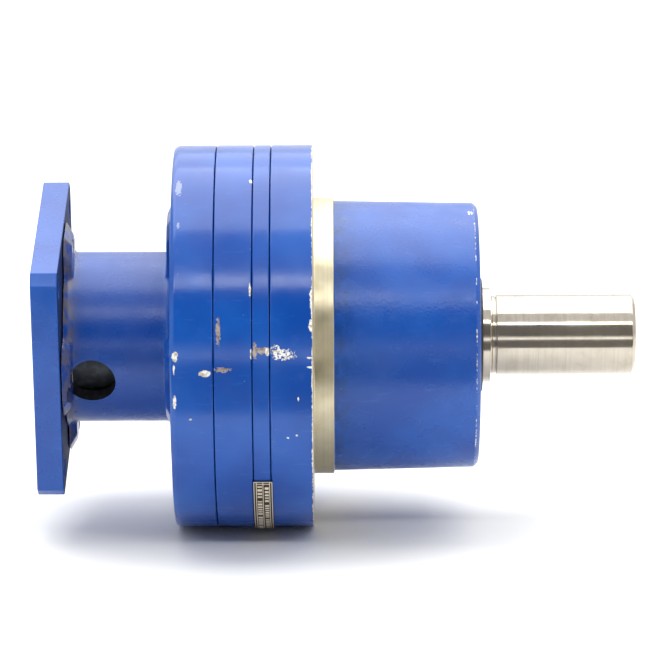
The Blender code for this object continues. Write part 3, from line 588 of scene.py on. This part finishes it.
def painted_shade_dark(name, colour, roughness=0.7):
    """Painted shade: a dark colour, mottled and hardly shiny, for painted or oily surfaces that see no light.
    """
    f = Finish(name, roughness, 0.0, colour)
    f.shader.inputs["Specular IOR Level"].default_value = 0.15
    mottled = f.noise(3.0, 4.0, seed=4.0)
    lighter = tuple(c * 2.0 + 0.01 for c in colour)
    f.link(f.colours(f.step(mottled, 0.45, 0.75), colour, lighter), "Base Color")
    f.bump([(f.noise(1.2, 3.0), 0.05)])
    return f.material


def machined(name, colour, tint, roughness, line_depth, line_mm=0.35, stain=0.35, metallic=1.0):
    """Bare turned metal: fine rings around the axis, faint stains and scratches."""
    f = Finish(name, roughness, metallic, colour)
    blotch = f.noise(9, 4.0, roughness=0.65, seed=1.5)
    base = f.colours(f.step(blotch, 0.42, 0.75, 0.0, stain), colour, tint)
    lines = f.noise(line_mm, 2.0, stretch=(1, 400, 400), seed=4.0)
    base = f.colours(f.step(lines, 0.35, 0.7, 0.0, 0.3), base, tuple(c * 0.72 for c in colour))
    broad = f.noise(line_mm * 3, 1.0, stretch=(1, 60, 60), seed=14.0)
    base = f.colours(f.step(broad, 0.50, 0.70, 0.0, 0.3), base, tint)
    pits = f.noise(1.0, 2.0, seed=8.0)
    base = f.colours(f.step(pits, 0.76, 0.82, 0.0, 0.5), base, RUST)
    f.link(base, "Base Color")
    smudge = f.noise(14, 3.0, seed=6.0)
    f.link(f.step(smudge, 0.3, 0.8, roughness * 0.8, roughness * 1.4), "Roughness")
    scratch = f.noise(0.9, 3.0, stretch=(1, 14, 14), distortion=0.6, seed=11.0)
    f.bump([(lines, line_depth), (scratch, line_depth * 0.5)])
    return f.material


def dark_metal(name, colour, roughness, metallic=0.8):
    """Black oxide or browned steel, with faint mottling."""
    f = Finish(name, roughness, metallic, colour)
    mottled = f.noise(3.0, 4.0, seed=2.0)
    lighter = tuple(min(1.0, c * 1.9 + 0.02) for c in colour)
    f.link(f.colours(f.step(mottled, 0.4, 0.75, 0.0, 0.7), colour, lighter), "Base Color")
    f.link(f.step(f.noise(5.0, 3.0, seed=5.0), 0.3, 0.7, roughness * 0.8, roughness * 1.3), "Roughness")
    f.bump([(f.noise(0.6, 3.0), 0.02)])
    return f.material


def rubber(name):
    """Black rubber with a little dust on it."""
    f = Finish(name, 0.55, 0.0, RUBBER_BLACK)
    dusty = f.noise(4.0, 4.0, seed=3.0)
    f.link(f.colours(f.step(dusty, 0.45, 0.8, 0.0, 0.5), RUBBER_BLACK, RUBBER_DUST), "Base Color")
    f.bump([(f.noise(0.5, 3.0), 0.03)])
    return f.material


# ---------------------------------------------------------------- pieces


def disc_wear(start, end, amount=0.22):
    """The small chips that a disc's two edges collect."""
    return (("X", start, 1.3, amount), ("X", end, 1.3, amount))


def patch(x, angle, along, around, radius=DISC_R):
    """A mark on the discs, or at another radius: its middle, and its half lengths along X and around."""
    return tuple(polar(x, radius, angle)), along, around


def paint_faces(piece, rule):
    """Gives each face the material whose number the rule works out from its x, radius and normal's x."""
    for face in piece.data.polygons:
        radius = math.hypot(face.center.y, face.center.z) / MM
        face.material_index = rule(face.center.x / MM, radius, face.normal.x)


def build_plate():
    """The square motor plate, turned a little about the shaft axis, with the motor's pilot and bolt holes."""
    half = PLATE_SIDE / 2
    leg = PLATE_CORNER_CUT / math.sqrt(2)
    outline = []
    for quarter in range(4):
        turn = math.radians(90 * quarter + 45 - PLATE_TURN)
        for y, z in ((half, half - leg), (half - leg, half)):
            sine, cosine = math.sin(turn), math.cos(turn)
            outline.append((y * cosine - z * sine, y * sine + z * cosine))
    plate = add_piece("motor_plate", prism(outline, PLATE_START, PLATE_END))
    edge = plate.modifiers.new("edge", "BEVEL")
    edge.width = PLATE_EDGE * MM
    edge.segments = 3
    bake_modifiers(plate)
    recess = PLATE_START + MOTOR_PILOT_DEPTH
    far = PLATE_END + 2
    cut(plate, [hole(PLATE_START, recess, far, 0, 0, MOTOR_PILOT_R, SPIGOT_R + GAP, 0.8)])
    corners = [PLATE_TURN + 90 * turn for turn in range(4)]
    bolt = (BOLT_HOLE_R, BOLT_HOLE_R - 0.01)
    cut(plate, [hole(PLATE_START, recess, far, BOLT_CIRCLE_R, angle, *bolt) for angle in corners])
    cut(plate, [hole(recess, PLATE_SCREW_SEAT, far, EAR_SCREW_R, angle) for angle in EAR_ANGLES])
    paint = blue_enamel(
        "plate_enamel",
        3.5,
        0.015,
        (0.22, 0.32),
        edges=(("X", PLATE_START, 0.9, 0.16), ("X", PLATE_END, 0.6, 0.10)),
    )
    # The plate's back face gets a dark blue of painted shade in place of its blue paint.
    back = painted_shade_dark("plate_back_painted_shade", (0.010, 0.024, 0.085))
    stand_for(plate, "motor_adapter_plate", paint, back)
    paint_faces(plate, lambda x, radius, facing: 1 if facing > 0.8 else 0)


def ear(x_base, x_top, reach):
    """One screw ear at angle 0: a block with cut corners that narrows as it rises."""
    corner_in, corner_along = 6, 8
    bm = bmesh.new()
    rings = []
    for x, shrink in ((x_base, 0.0), (x_top, EAR_SLOPE)):
        outer = reach - shrink
        wide = EAR_HALF_WIDTH - shrink / 2
        corners = [
            (EAR_INNER_R, -wide),
            (outer - corner_in, -wide),
            (outer, -wide + corner_along),
            (outer, wide - corner_along),
            (outer - corner_in, wide),
            (EAR_INNER_R, wide),
        ]
        rings.append([bm.verts.new((x, -radius, side)) for radius, side in corners])
    for i in range(len(rings[0])):
        bm.faces.new((rings[0][i - 1], rings[0][i], rings[1][i], rings[1][i - 1]))
    bm.faces.new(rings[0])
    bm.faces.new(rings[1])
    return bm


def ears(x_base, x_top, reach):
    """The four ears of one end of the neck."""
    shells = []
    for angle in EAR_ANGLES:
        shell = ear(x_base, x_top, reach)
        bmesh.ops.transform(shell, matrix=turned_to(angle), verts=shell.verts)
        shells.append(shell)
    return shells


def build_neck():
    """The coupling casting: joined, remeshed and smoothed so that its corners run out as cast fillets."""
    quarter = [math.radians(a) for a in (90, 68, 45, 22, 0)]
    rise = [(NECK_FILLET * (1 - math.sin(a)), NECK_R + NECK_FILLET * (1 - math.cos(a))) for a in quarter]
    outline = [
        (NECK_START, NECK_BORE_R),
        (NECK_END, NECK_BORE_R),
        *[(NECK_END - x, radius) for x, radius in rise],
        *[(NECK_FACE + x, radius) for x, radius in reversed(rise)],
        (NECK_FACE, SPIGOT_R),
        (NECK_START, SPIGOT_R),
    ]
    neck = add_piece("coupling_neck", lathe(outline))
    lift = 0.02
    plate_ears = ears(NECK_FACE + lift, NECK_FACE + PLATE_EAR_THICK, PLATE_EAR_R)
    combine(neck, gathered(plate_ears), "UNION")
    flange_ears = ears(NECK_END - lift, NECK_END - FLANGE_EAR_THICK, FLANGE_EAR_R)
    combine(neck, gathered(flange_ears), "UNION")
    remesh = neck.modifiers.new("remesh", "REMESH")
    remesh.mode = "VOXEL"
    remesh.voxel_size = NECK_VOXEL * MM
    smooth = neck.modifiers.new("smooth", "SMOOTH")
    smooth.factor = 0.6
    smooth.iterations = 5
    bake_modifiers(neck)
    window = rod(polar(ACCESS_X, 20, ACCESS_ANGLE), polar(ACCESS_X, 62, ACCESS_ANGLE), ACCESS_R, 96)
    depths = ((NECK_FACE - 1, NECK_FACE + 6), (NECK_END - 5, NECK_END + 1))
    tap_r = 3.3
    taps = []
    for tap_start, tap_end in depths:
        for angle in EAR_ANGLES:
            ends = [polar(x, EAR_SCREW_R, angle) for x in (tap_start, tap_end)]
            taps.append(rod(*ends, tap_r))
    cut(neck, [window, *taps])
    paint = cast_enamel(
        "neck_enamel",
        edges=(("X", NECK_FACE, 0.6, 0.2),),
        # By the plate a band of brown dirt; by the first disc a dark blue band of painted shade where the
        # neck meets it.
        grime=((NECK_FACE, 9.0, 0.9, DIRT), (NECK_END, 3.5, 0.5, (0.02, 0.03, 0.09))),
    )
    # Faces inside the neck's outer skin get a near-black of painted shade.
    inside = painted_shade_dark("neck_inside_painted_shade", (0.010, 0.010, 0.013))
    stand_for(neck, "coupling_housing", paint, inside)
    paint_faces(neck, lambda x, radius, facing: 1 if radius < NECK_R - 1.0 else 0)


def build_flange():
    """The first disc and its boss, with seats for the input seal, bearing and retaining ring."""
    seal_end, seal_r = -79.2, 25.6
    shaft_way_r = 22.7
    bearing_start, bearing_r = -76.7, 31.5
    groove_start, groove_end, groove_r = -64.1, -62.5, 33.4
    slope_x, slope_r = FIRST_DISC_SLOPE
    outline = [
        (BOSS_START, seal_r),
        (seal_end, seal_r),
        (seal_end, shaft_way_r),
        (bearing_start, shaft_way_r),
        (bearing_start, bearing_r),
        (groove_start, bearing_r),
        (groove_start, groove_r),
        (groove_end, groove_r),
        (groove_end, bearing_r),
        (CHAMBER_START, bearing_r),
        (CHAMBER_START, CARRIER_R + 2),
        (FLANGE_END, CARRIER_R + 2),
        (FLANGE_END, DISC_R),
        (FLANGE_START + slope_x, DISC_R),
        (FLANGE_START, DISC_R - slope_r),
        (FLANGE_START, NECK_BORE_R - GAP),
        (BOSS_START, NECK_BORE_R - GAP),
    ]
    flange = add_piece("first_disc", lathe(softened(outline, 0.9)))
    before, behind = FLANGE_START - 1, FLANGE_END + 1
    holes = [hole(FLANGE_START, STACK_SCREW_SEAT, behind, STACK_SCREW_R, a) for a in STACK_ANGLES]
    holes += [hole(CHAMBER_START, NECK_SCREW_SEAT, before, EAR_SCREW_R, a) for a in EAR_ANGLES]
    cut(flange, holes)
    paint = disc_enamel(
        "first_disc_enamel",
        edges=disc_wear(FLANGE_START + slope_x, FLANGE_END),
        spots=(
            patch(-59.6, 1.1, 3.0, 1.6),
            patch(-73.4, 6.2, 1.5, 2.3),
            patch(-74.0, 2.2, 0.5, 2.4),
            patch(-73.8, -7.4, 0.8, 3.0),
            patch(-66.5, -12.8, 0.8, 0.5),
        ),
        rubs=(patch(-72.4, 61.0, 1.6, 5.5), patch(-72.2, 46.0, 0.7, 2.0)),
    )
    stand_for(flange, "input_flange", paint)


def plain_disc(name, start, end, bore):
    """A disc of the stack with its bore, before the screw holes are cut."""
    outline = [(start, bore), (end, bore), (end, DISC_R), (start, DISC_R)]
    return add_piece(name, lathe(softened(outline, DISC_EDGE)))


def build_ring():
    """The ring gear, whose outside is the second disc."""
    ring = plain_disc("ring_disc", RING_START, RING_END, MODULE * (RING_TEETH / 2 - 3))
    cut(ring, [prism(ring_spaces(), RING_START - 1, RING_END + 1)])
    cut(ring, stack_holes(RING_START, RING_END))
    paint = disc_enamel(
        "ring_disc_enamel",
        edges=disc_wear(RING_START, RING_END),
        spots=(patch(-39.4, 64.0, 0.8, 1.6), patch(-39.5, 25.5, 0.5, 3.6), patch(-39.0, 7.0, 0.45, 3.2)),
        stains=(patch(-52.0, 2.2, 3.8, 1.2), patch(-53.9, 13.3, 1.1, 6.8)),
    )
    stand_for(ring, "ring_gear", paint)


def stack_holes(start, end):
    """Cutters for the housing screws' holes through a disc."""
    ends = [(polar(start - 1, STACK_SCREW_R, a), polar(end + 1, STACK_SCREW_R, a)) for a in STACK_ANGLES]
    return [rod(first, last, SCREW_HOLE_R) for first, last in ends]


def build_spacer():
    """The thin third disc."""
    spacer = plain_disc("spacer_disc", SPACER_START, SPACER_END, CHAMBER_R)
    cut(spacer, stack_holes(SPACER_START, SPACER_END))
    paint = disc_enamel(
        "spacer_enamel",
        edges=disc_wear(SPACER_START, SPACER_END),
        spots=(patch(-31.6, 7.4, 1.1, 1.9),),
        stains=(patch(-37.4, 7.6, 1.0, 4.6), patch(-34.2, 7.8, 2.8, 1.7)),
    )
    stand_for(spacer, "spacer_ring", paint)


def build_output_casting():
    """The fourth disc, the bare pilot and the nose, with seats for two bearings and the seal."""
    inner_end, inner_r = 6.8, 50.6
    waist_r = (45.0, 37.5)
    outer_start, outer_end, outer_r = 35.7, 55.3, 43.0
    seal_r = 32.3
    outline = [
        (OUTPUT_START, CHAMBER_R),
        (CHAMBER_END, CHAMBER_R),
        (CHAMBER_END, inner_r),
        (inner_end, inner_r),
        (inner_end, waist_r[0]),
        (outer_start, waist_r[1]),
        (outer_start, outer_r),
        (outer_end, outer_r),
        (outer_end, seal_r),
        (NOSE_END, seal_r),
        (NOSE_END, NOSE_R[1] - NOSE_EDGE),
        (NOSE_END - NOSE_EDGE, NOSE_R[1]),
        (NOSE_START, NOSE_R[0]),
        (NOSE_START, PILOT_R),
        (PILOT_START, PILOT_R),
        (PILOT_START, DISC_R),
        (OUTPUT_START, DISC_R),
    ]
    casting = add_piece("output_casting", lathe(softened(outline, DISC_EDGE)))
    tap_mouth_end, tap_end = -20, -25
    tap_r = (4.3, 3.4)
    holes = stack_holes(OUTPUT_START, CHAMBER_END)
    holes += [hole(PILOT_START, tap_mouth_end, tap_end, STACK_SCREW_R, a, *tap_r) for a in CUSTOMER_ANGLES]
    cut(casting, holes)
    disc = disc_enamel(
        "output_disc_enamel",
        edges=(("X", OUTPUT_START, 1.2, 0.22), ("X", PILOT_START, 2.0, 0.60)),
        spots=(
            patch(-11.6, 22.6, 0.9, 4.2),
            patch(-11.8, 15.0, 1.2, 2.8),
            patch(-12.4, 5.6, 1.9, 0.55),
            patch(-12.0, 2.9, 1.6, 0.5),
            patch(-17.8, -6.6, 0.35, 1.0),
            patch(-18.6, -18.2, 0.6, 0.6),
            patch(-22.6, -19.0, 0.6, 0.5),
        ),
        speckled=(patch(-24.4, 6.6, 5.6, 2.7), patch(-28.0, 8.0, 2.6, 2.2)),
    )
    pilot = machined(
        "pilot_bare",
        (0.64, 0.58, 0.42),
        (0.50, 0.43, 0.25),
        0.36,
        0.012,
        line_mm=0.9,
        stain=0.5,
        metallic=0.85,
    )
    nose = cast_enamel(
        "nose_enamel",
        edges=(("X", NOSE_END - NOSE_EDGE, 1.1, 0.42), ("X", NOSE_START, 0.8, 0.16)),
        spots=(
            patch(NOSE_END - 4.4, 78.0, 0.5, 2.6, NOSE_R[1]),
            patch(NOSE_END - 3.2, 78.0, 0.5, 2.2, NOSE_R[1]),
        ),
        # A band of painted shade on the nose next to the pilot.
        grime=((NOSE_START, 12.0, 0.55, BLUE_SHADE),),
    )
    stand_for(casting, "output_housing", disc, pilot, nose)

    def rule(x, radius, facing):
        """0 is the disc's paint, 1 bare metal on the pilot and in the holes, and 2 the nose's paint."""
        if x > NOSE_START - 0.4 and radius < PILOT_R - 0.6:
            return 2
        return 1 if x > PILOT_START - 0.3 or radius < DISC_R - 2 else 0

    paint_faces(casting, rule)


def build_shaft():
    """The output shaft with its carrier: collar, relief, ground end and a countersunk centre hole."""
    carrier_end = -22.0
    hub_end, hub_r = -14.8, 33.0
    inner_end, inner_r = 7.0, 27.2
    outer_r = 22.2
    groove_start, groove_end, groove_r = 55.3, 57.3, 21.0
    score_r = RELIEF_R - 0.5
    chamfer = 1.6
    centre_r, centre_mouth_r = 5.1, 7.6
    outline = [
        (CARRIER_START, 0),
        (CARRIER_START, CARRIER_R),
        (carrier_end, CARRIER_R),
        (carrier_end, hub_r),
        (hub_end, hub_r),
        (hub_end, inner_r),
        (inner_end, inner_r),
        (inner_end, outer_r),
        (groove_start, outer_r),
        (groove_start, groove_r),
        (groove_end, groove_r),
        (groove_end, COLLAR_R),
        (COLLAR_END, COLLAR_R),
        (COLLAR_END, score_r),
        (COLLAR_END + 0.7, score_r),
        (COLLAR_END + 0.7, RELIEF_R),
        (RELIEF_END - 0.6, RELIEF_R),
        (RELIEF_END - 0.6, score_r),
        (RELIEF_END, score_r),
        (RELIEF_END, SHAFT_R),
        (SHAFT_END - chamfer, SHAFT_R),
        (SHAFT_END, SHAFT_R - chamfer),
        (SHAFT_END, centre_mouth_r),
        (SHAFT_END - 2.5, centre_r),
        (SHAFT_END - 28, centre_r),
        (SHAFT_END - 31, 0),
    ]
    shaft = add_piece("shaft_and_carrier", lathe(softened(outline, 0.35)))
    pin_hole_end, pin_hole_r = -26.9, 8.3
    pin_holes = []
    for angle in PIN_ANGLES:
        ends = [polar(x, PIN_CIRCLE_R, angle) for x in (CARRIER_START - 1, pin_hole_end)]
        pin_holes.append(rod(*ends, pin_hole_r))
    cut(shaft, pin_holes)
    finish = machined(
        "shaft_ground",
        (0.57, 0.52, 0.445),
        (0.40, 0.35, 0.26),
        0.12,
        0.002,
        line_mm=0.3,
        stain=0.6,
        metallic=0.82,
    )
    stand_for(shaft, "output_shaft", finish)


def build_seal():
    """The output shaft's seal: a case, a lip on the shaft and a collar that stands out of the nose."""
    case_r, collar_r = 31.5, 27.0
    mouth_r = 28.0
    outline = [
        (SEAL_START, mouth_r),
        (SEAL_START + 2.5, mouth_r),
        (SEAL_START + 2.5, 25.0),
        (SEAL_START + 1.0, 23.5),
        (SEAL_END - 1.0, 23.3),
        (SEAL_END, 24.2),
        (SEAL_END, 26.6),
        (SEAL_END - 0.5, collar_r),
        (NOSE_END - GAP, collar_r),
        (NOSE_END - GAP, case_r),
        (SEAL_START, case_r),
    ]
    seal = add_piece("shaft_seal", lathe(softened(outline, 0.3)))
    stand_for(seal, "output_shaft_seal", rubber("seal_rubber"))


def curved_strip(x_start, x_end, angle_start, angle_end, inner_r, outer_r, steps=48):
    """A thin plate bent round the shaft axis, between two stations, two angles and two radii."""
    angles = [angle_start + (angle_end - angle_start) * step / steps for step in range(steps + 1)]
    outline = [polar(0, outer_r, angle).yz for angle in angles]
    outline += [polar(0, inner_r, angle).yz for angle in reversed(angles)]
    return prism(outline, x_start, x_end)


def label_lines(start, end, inner_r, outer_r):
    """The rims, the frames of two fields, and in each field a column of plain bars of uneven length."""
    width = LABEL_END - LABEL_START
    line = 0.32
    inset = 0.1
    margin = 1.5
    lines = []
    for at in (inset, margin - line, width / 2 - line / 2, width - margin, width - inset - line):
        x = LABEL_START + at
        lines.append(curved_strip(x, x + line, start - 0.2, end + 0.2, inner_r, outer_r))
    for angle, side in ((start - 0.1, inset), (start - 1.0, margin - line)):
        x_start, x_end = LABEL_START + side, LABEL_END - side
        lines.append(curved_strip(x_start, x_end, angle, angle - 0.2, inner_r, outer_r))
    field = width / 2 - margin - line
    for row in range(2):
        x = LABEL_START + margin + row * (width / 2 - margin + line / 2) + 0.35
        angle = start - 2.0 - 0.5 * row
        number = 0
        while angle > end + 2.0:
            long = 0.6 + 0.45 * ((number * 7 + row * 3) % 4) / 3
            narrow = 0.6 * ((number * 3 + row) % 3) / 2
            x_start, x_end = x + narrow, x + field - 0.5
            lines.append(curved_strip(x_start, x_end, angle, angle - long, inner_r, outer_r, 4))
            angle -= long + (1.9 if (number * 5 + row) % 6 == 3 else 0.8)
            number += 1
    return lines


def build_nameplate():
    """A dark plate with a pale rim, two framed fields, and plain bars in place of any text."""
    base_r = DISC_R + 0.1
    top_r = base_r + 0.55
    rim_r = top_r + 0.12
    start, end = LABEL_ANGLES
    plate = add_piece("label_plate", curved_strip(LABEL_START, LABEL_END, start, end, base_r, top_r))
    f = Finish("label_ground", 0.6, 0.0, LABEL_GROUND)
    worn = f.noise(1.6, 4.0, seed=2.0)
    f.link(f.colours(f.step(worn, 0.60, 0.85, 0.0, 0.4), LABEL_GROUND, LABEL_WORN), "Base Color")
    f.bump([(f.noise(0.5, 2.0), 0.02)])
    stand_for(plate, "nameplate", f.material)
    brass = machined(
        "label_brass",
        (0.84, 0.74, 0.56),
        (0.60, 0.47, 0.30),
        0.45,
        0.01,
        line_mm=0.3,
        stain=0.4,
        metallic=0.2,
    )
    rims = add_piece("label_rims", gathered(label_lines(start, end, top_r - 0.1, rim_r)))
    even_normals(rims)
    rims.data.materials.append(brass)
    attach(rims, body_of_node("nameplate"))


def radial_slot(angle, inner_r, outer_r, x_start, x_end):
    """A cutter for a thin slot along X that runs outwards at an angle."""
    turn = turned_to(angle).to_3x3()
    flat = ((-inner_r, -SLOT_HALF), (-outer_r, -SLOT_HALF), (-outer_r, SLOT_HALF), (-inner_r, SLOT_HALF))
    corners = [(turn @ Vector((0, y, z))).yz for y, z in flat]
    return prism(corners, x_start, x_end)


def build_clamp_ring():
    """The slotted ring behind the access hole, bored across for its screw and the screw's head."""
    outline = [
        (CLAMP_START, CLAMP_BORE_R),
        (CLAMP_END, CLAMP_BORE_R),
        (CLAMP_END, CLAMP_R),
        (CLAMP_START, CLAMP_R),
    ]
    ring = add_piece("clamp_ring_fine", lathe(softened(outline, 0.9)))
    cut(ring, [radial_slot(CLAMP_ANGLE, 12, 33, CLAMP_START - 1, CLAMP_END + 1)])
    side = polar(0, 1, CLAMP_ANGLE + 90)
    line = polar((CLAMP_START + CLAMP_END) / 2, CLAMP_SCREW_R, CLAMP_ANGLE)
    cut(ring, [rod(line - side * 11, line + side * 9, 3.1)])
    cut(ring, [rod(line + side * 8, line + side * 25, 5.3)])
    browned = dark_metal("clamp_browned", (0.030, 0.036, 0.045), 0.5, 0.3)
    stand_for(ring, "clamp_ring", browned)


def build_hub():
    """The input shaft: a slotted hub with the motor's bore, a bearing seat and the sun gear's stub."""
    stub_r, shoulder_r, seat_r, clamp_r = 11.0, 17.0, 19.7, 18.0
    stub_start, seat_end = -56.0, -63.4
    bore_r, bore_end = 12.0, -92.0
    outline = [
        (HUB_END, 0),
        (HUB_END, stub_r),
        (stub_start, stub_r),
        (stub_start, shoulder_r),
        (seat_end, shoulder_r),
        (seat_end, seat_r),
        (CLAMP_END + 4, seat_r),
        (CLAMP_END + 2, clamp_r),
        (HUB_START, clamp_r),
        (HUB_START, bore_r),
        (bore_end, bore_r),
        (bore_end, bore_r / 2),
        (bore_end + 2, 0),
    ]
    hub = add_piece("motor_hub", lathe(softened(outline, 0.4)))
    angles = (CLAMP_ANGLE, CLAMP_ANGLE + 180)
    cut(hub, [radial_slot(angle, 6, 21, HUB_START - 1, CLAMP_END) for angle in angles])
    finish = machined("hub_turned", (0.50, 0.47, 0.43), (0.30, 0.26, 0.22), 0.28, 0.01)
    stand_for(hub, "input_shaft", finish)


def build_screw(node, seat, direction, length, head_length, finish, shank_r=SCREW_R, head_r=SCREW_HEAD_R):
    """A socket head screw with a rounded head, a hexagon socket and a chamfered tip."""
    outline = [
        (-head_length, 0),
        (-head_length, head_r - 0.5),
        (-head_length + 0.5, head_r),
        (0, head_r),
        (0, shank_r),
        (length - 0.6, shank_r),
        (length, shank_r - 0.6),
        (length, 0),
    ]
    screw = add_piece(f"{node}_fine", lathe(softened(outline, 0.3), FACETS_HOLE))
    across = head_r * 0.58
    corners = [math.radians(a) for a in range(0, 360, 60)]
    hexagon = [(across * math.cos(a), across * math.sin(a)) for a in corners]
    cut(screw, [prism(hexagon, -head_length - 1, -head_length * 0.5)])
    turn = Vector((1, 0, 0)).rotation_difference(Vector(direction)).to_matrix().to_4x4()
    screw.data.transform(Matrix.Translation(Vector(seat) * MM) @ turn)
    stand_for(screw, node, finish)


def build_screws():
    """The screws of the plate, the neck, the housing and the clamp ring, each a little off its seat."""
    finish = dark_metal("screw_black_oxide", (0.035, 0.035, 0.04), 0.38)
    onward, back = (1, 0, 0), (-1, 0, 0)
    for number, angle in enumerate(EAR_ANGLES, start=1):
        seat = polar(PLATE_SCREW_SEAT - GAP / 2, EAR_SCREW_R, angle)
        build_screw(f"plate_screw_{number}", seat, onward, 7.0, 4.0, finish)
        seat = polar(NECK_SCREW_SEAT + GAP / 2, EAR_SCREW_R, angle)
        build_screw(f"neck_screw_{number}", seat, back, 11.0, 6.0, finish)
    for number, angle in enumerate(STACK_ANGLES, start=1):
        seat = polar(STACK_SCREW_SEAT - GAP / 2, STACK_SCREW_R, angle)
        build_screw(f"housing_screw_{number}", seat, onward, 52.0, 6.0, finish)
    side = polar(0, 1, CLAMP_ANGLE + 90)
    seat = polar((CLAMP_START + CLAMP_END) / 2, CLAMP_SCREW_R, CLAMP_ANGLE) + side * 8.2
    build_screw("clamp_screw", seat, -side, 18.0, 6.0, finish, 2.8, 4.8)


def finish_inner_nodes():
    """Materials for the CAD nodes that stay: bearings, gears, pins, seals and rings inside."""
    gear = machined("gear_steel_ground", (0.55, 0.55, 0.56), (0.42, 0.38, 0.32), 0.25, 0.004, line_mm=0.3)
    pin = machined("pin_ground", (0.72, 0.71, 0.69), (0.5, 0.47, 0.4), 0.14, 0.002, line_mm=0.3)
    bronze = machined("bronze_drawn", (0.62, 0.42, 0.18), (0.35, 0.22, 0.10), 0.3, 0.006, line_mm=0.4)
    slot_finish = {
        "gear_steel": gear,
        "shaft_steel": pin,
        "bronze": bronze,
        "seal_rubber": rubber("inner_rubber"),
    }
    for name, node in frame["nodes"].items():
        finish = slot_finish.get(slot_of_node(name))
        if node.hide_render or not finish:
            continue
        node.data.materials.clear()
        node.data.materials.append(finish)


# ---------------------------------------------------------------- stage


ELEVATION = math.radians(12.0)
CAMERA_DISTANCE = 1.99
CAMERA_LENS = 228.07
CAMERA_X = -0.0022
CAMERA_RISE = 0.0014
CAMERA_ROLL = math.radians(-0.25)
FLOOR_Z = CAD_BOX[0][2]
FLOOR_HALF = 8.0


def light_panel(name, place, size, watts, aim=(0, 0, 0), shiny_only=False):
    """A rectangular studio light. One that is shiny_only shows in reflections and lights nothing else."""
    data = bpy.data.lights.new(name, "AREA")
    data.shape = "RECTANGLE"
    data.size = size[0]
    data.size_y = size[1]
    data.energy = watts
    lamp = bpy.data.objects.new(name, data)
    lamp.location = place
    lamp.visible_camera = False
    lamp.visible_diffuse = not shiny_only
    lamp.rotation_euler = (Vector(aim) - Vector(place)).to_track_quat("-Z", "Y").to_euler()
    bpy.context.scene.collection.objects.link(lamp)


def plain_material(name, colour, roughness=0.9):
    made = bpy.data.materials.new(name)
    made.use_nodes = True
    shader = made.node_tree.nodes["Principled BSDF"]
    shader.inputs["Base Color"].default_value = (*colour, 1)
    shader.inputs["Roughness"].default_value = roughness
    shader.inputs["Specular IOR Level"].default_value = 0.1
    return made


def stage_sheet(name, corners, finish):
    mesh = bpy.data.meshes.new(name)
    mesh.from_pydata([tuple(c) for c in corners], [], [tuple(range(len(corners)))])
    mesh.materials.append(finish)
    sheet = bpy.data.objects.new(name, mesh)
    bpy.context.scene.collection.objects.link(sheet)
    return sheet


def build_world():
    world = bpy.data.worlds.new("studio")
    world.use_nodes = True
    background = world.node_tree.nodes["Background"]
    background.inputs["Color"].default_value = (0.98, 0.98, 0.97, 1)
    background.inputs["Strength"].default_value = 0.9
    bpy.context.scene.world = world


def build_floor():
    """A pale floor, and two dark cards on the camera's side, which it doesn't see but reflections show."""
    white = plain_material("floor_white", (0.90, 0.90, 0.895))
    black = plain_material("flag_black", (0.03, 0.025, 0.02))
    far = FLOOR_HALF
    floor = [(-far, -far, FLOOR_Z), (far, -far, FLOOR_Z), (far, far, FLOOR_Z), (-far, far, FLOOR_Z)]
    stage_sheet("floor", floor, white)
    low = FLOOR_Z + 0.002
    side, near, end = 1.2, -0.19, -1.4
    table_edge = [(-side, near, low), (side, near, low), (side, end, low), (-side, end, low)]
    front_flag = stage_sheet("front_flag", table_edge, black)
    front_flag.visible_camera = False
    front_flag.visible_diffuse = False
    front_flag.visible_shadow = False
    foot, head = (math.tan(math.radians(angle)) * -end for angle in (7, 41))
    card = [(-side, end, foot), (side, end, foot), (side, end, head), (-side, end, head)]
    stage_sheet("rear_flag", card, black).visible_camera = False


def build_lights():
    """A soft box above, and strips and walls that give the paint and the bare metal their bands of shine."""
    light_panel("top_box", (0.0, 0.35, 1.5), (2.6, 1.6), 42)
    strip_rise = math.radians(43.8)
    strip_at = Vector((0, -math.cos(strip_rise), math.sin(strip_rise))) * 1.5
    light_panel("back_wall", (0.0, 3.0, 0.7), (5.0, 1.6), 8, aim=(0, 0, 0.2), shiny_only=True)
    light_panel("back_ceiling", (0.0, 2.2, 1.75), (5.0, 1.25), 30, shiny_only=True)
    horizon_at = (0.0, -1.5, 1.5 * math.tan(math.radians(1.0)))
    light_panel("horizon_strip", horizon_at, (2.6, 0.11), 1.2, shiny_only=True)
    light_panel("front_strip", strip_at, (2.2, 0.18), 7)


def build_camera():
    """The camera looks a little down on the shaft line, from the front."""
    data = bpy.data.cameras.new("camera")
    data.sensor_width = 36.0
    data.lens = CAMERA_LENS
    camera = bpy.data.objects.new("camera", data)
    back = Vector((0, -math.cos(ELEVATION), math.sin(ELEVATION)))
    up = Vector((0, math.sin(ELEVATION), math.cos(ELEVATION)))
    camera.location = Vector((CAMERA_X, 0, 0)) + up * CAMERA_RISE + back * CAMERA_DISTANCE
    level = (-back).to_track_quat("-Z", "Y").to_matrix().to_4x4()
    camera.rotation_euler = (level @ Matrix.Rotation(CAMERA_ROLL, 4, "Z")).to_euler()
    scene = bpy.context.scene
    scene.collection.objects.link(camera)
    scene.camera = camera
    scene.view_settings.view_transform = "Standard"


build_world()
build_floor()
build_lights()
build_camera()
build_plate()
build_neck()
build_flange()
build_ring()
build_spacer()
build_output_casting()
build_shaft()
build_seal()
build_nameplate()
build_clamp_ring()
build_hub()
build_screws()
finish_inner_nodes()
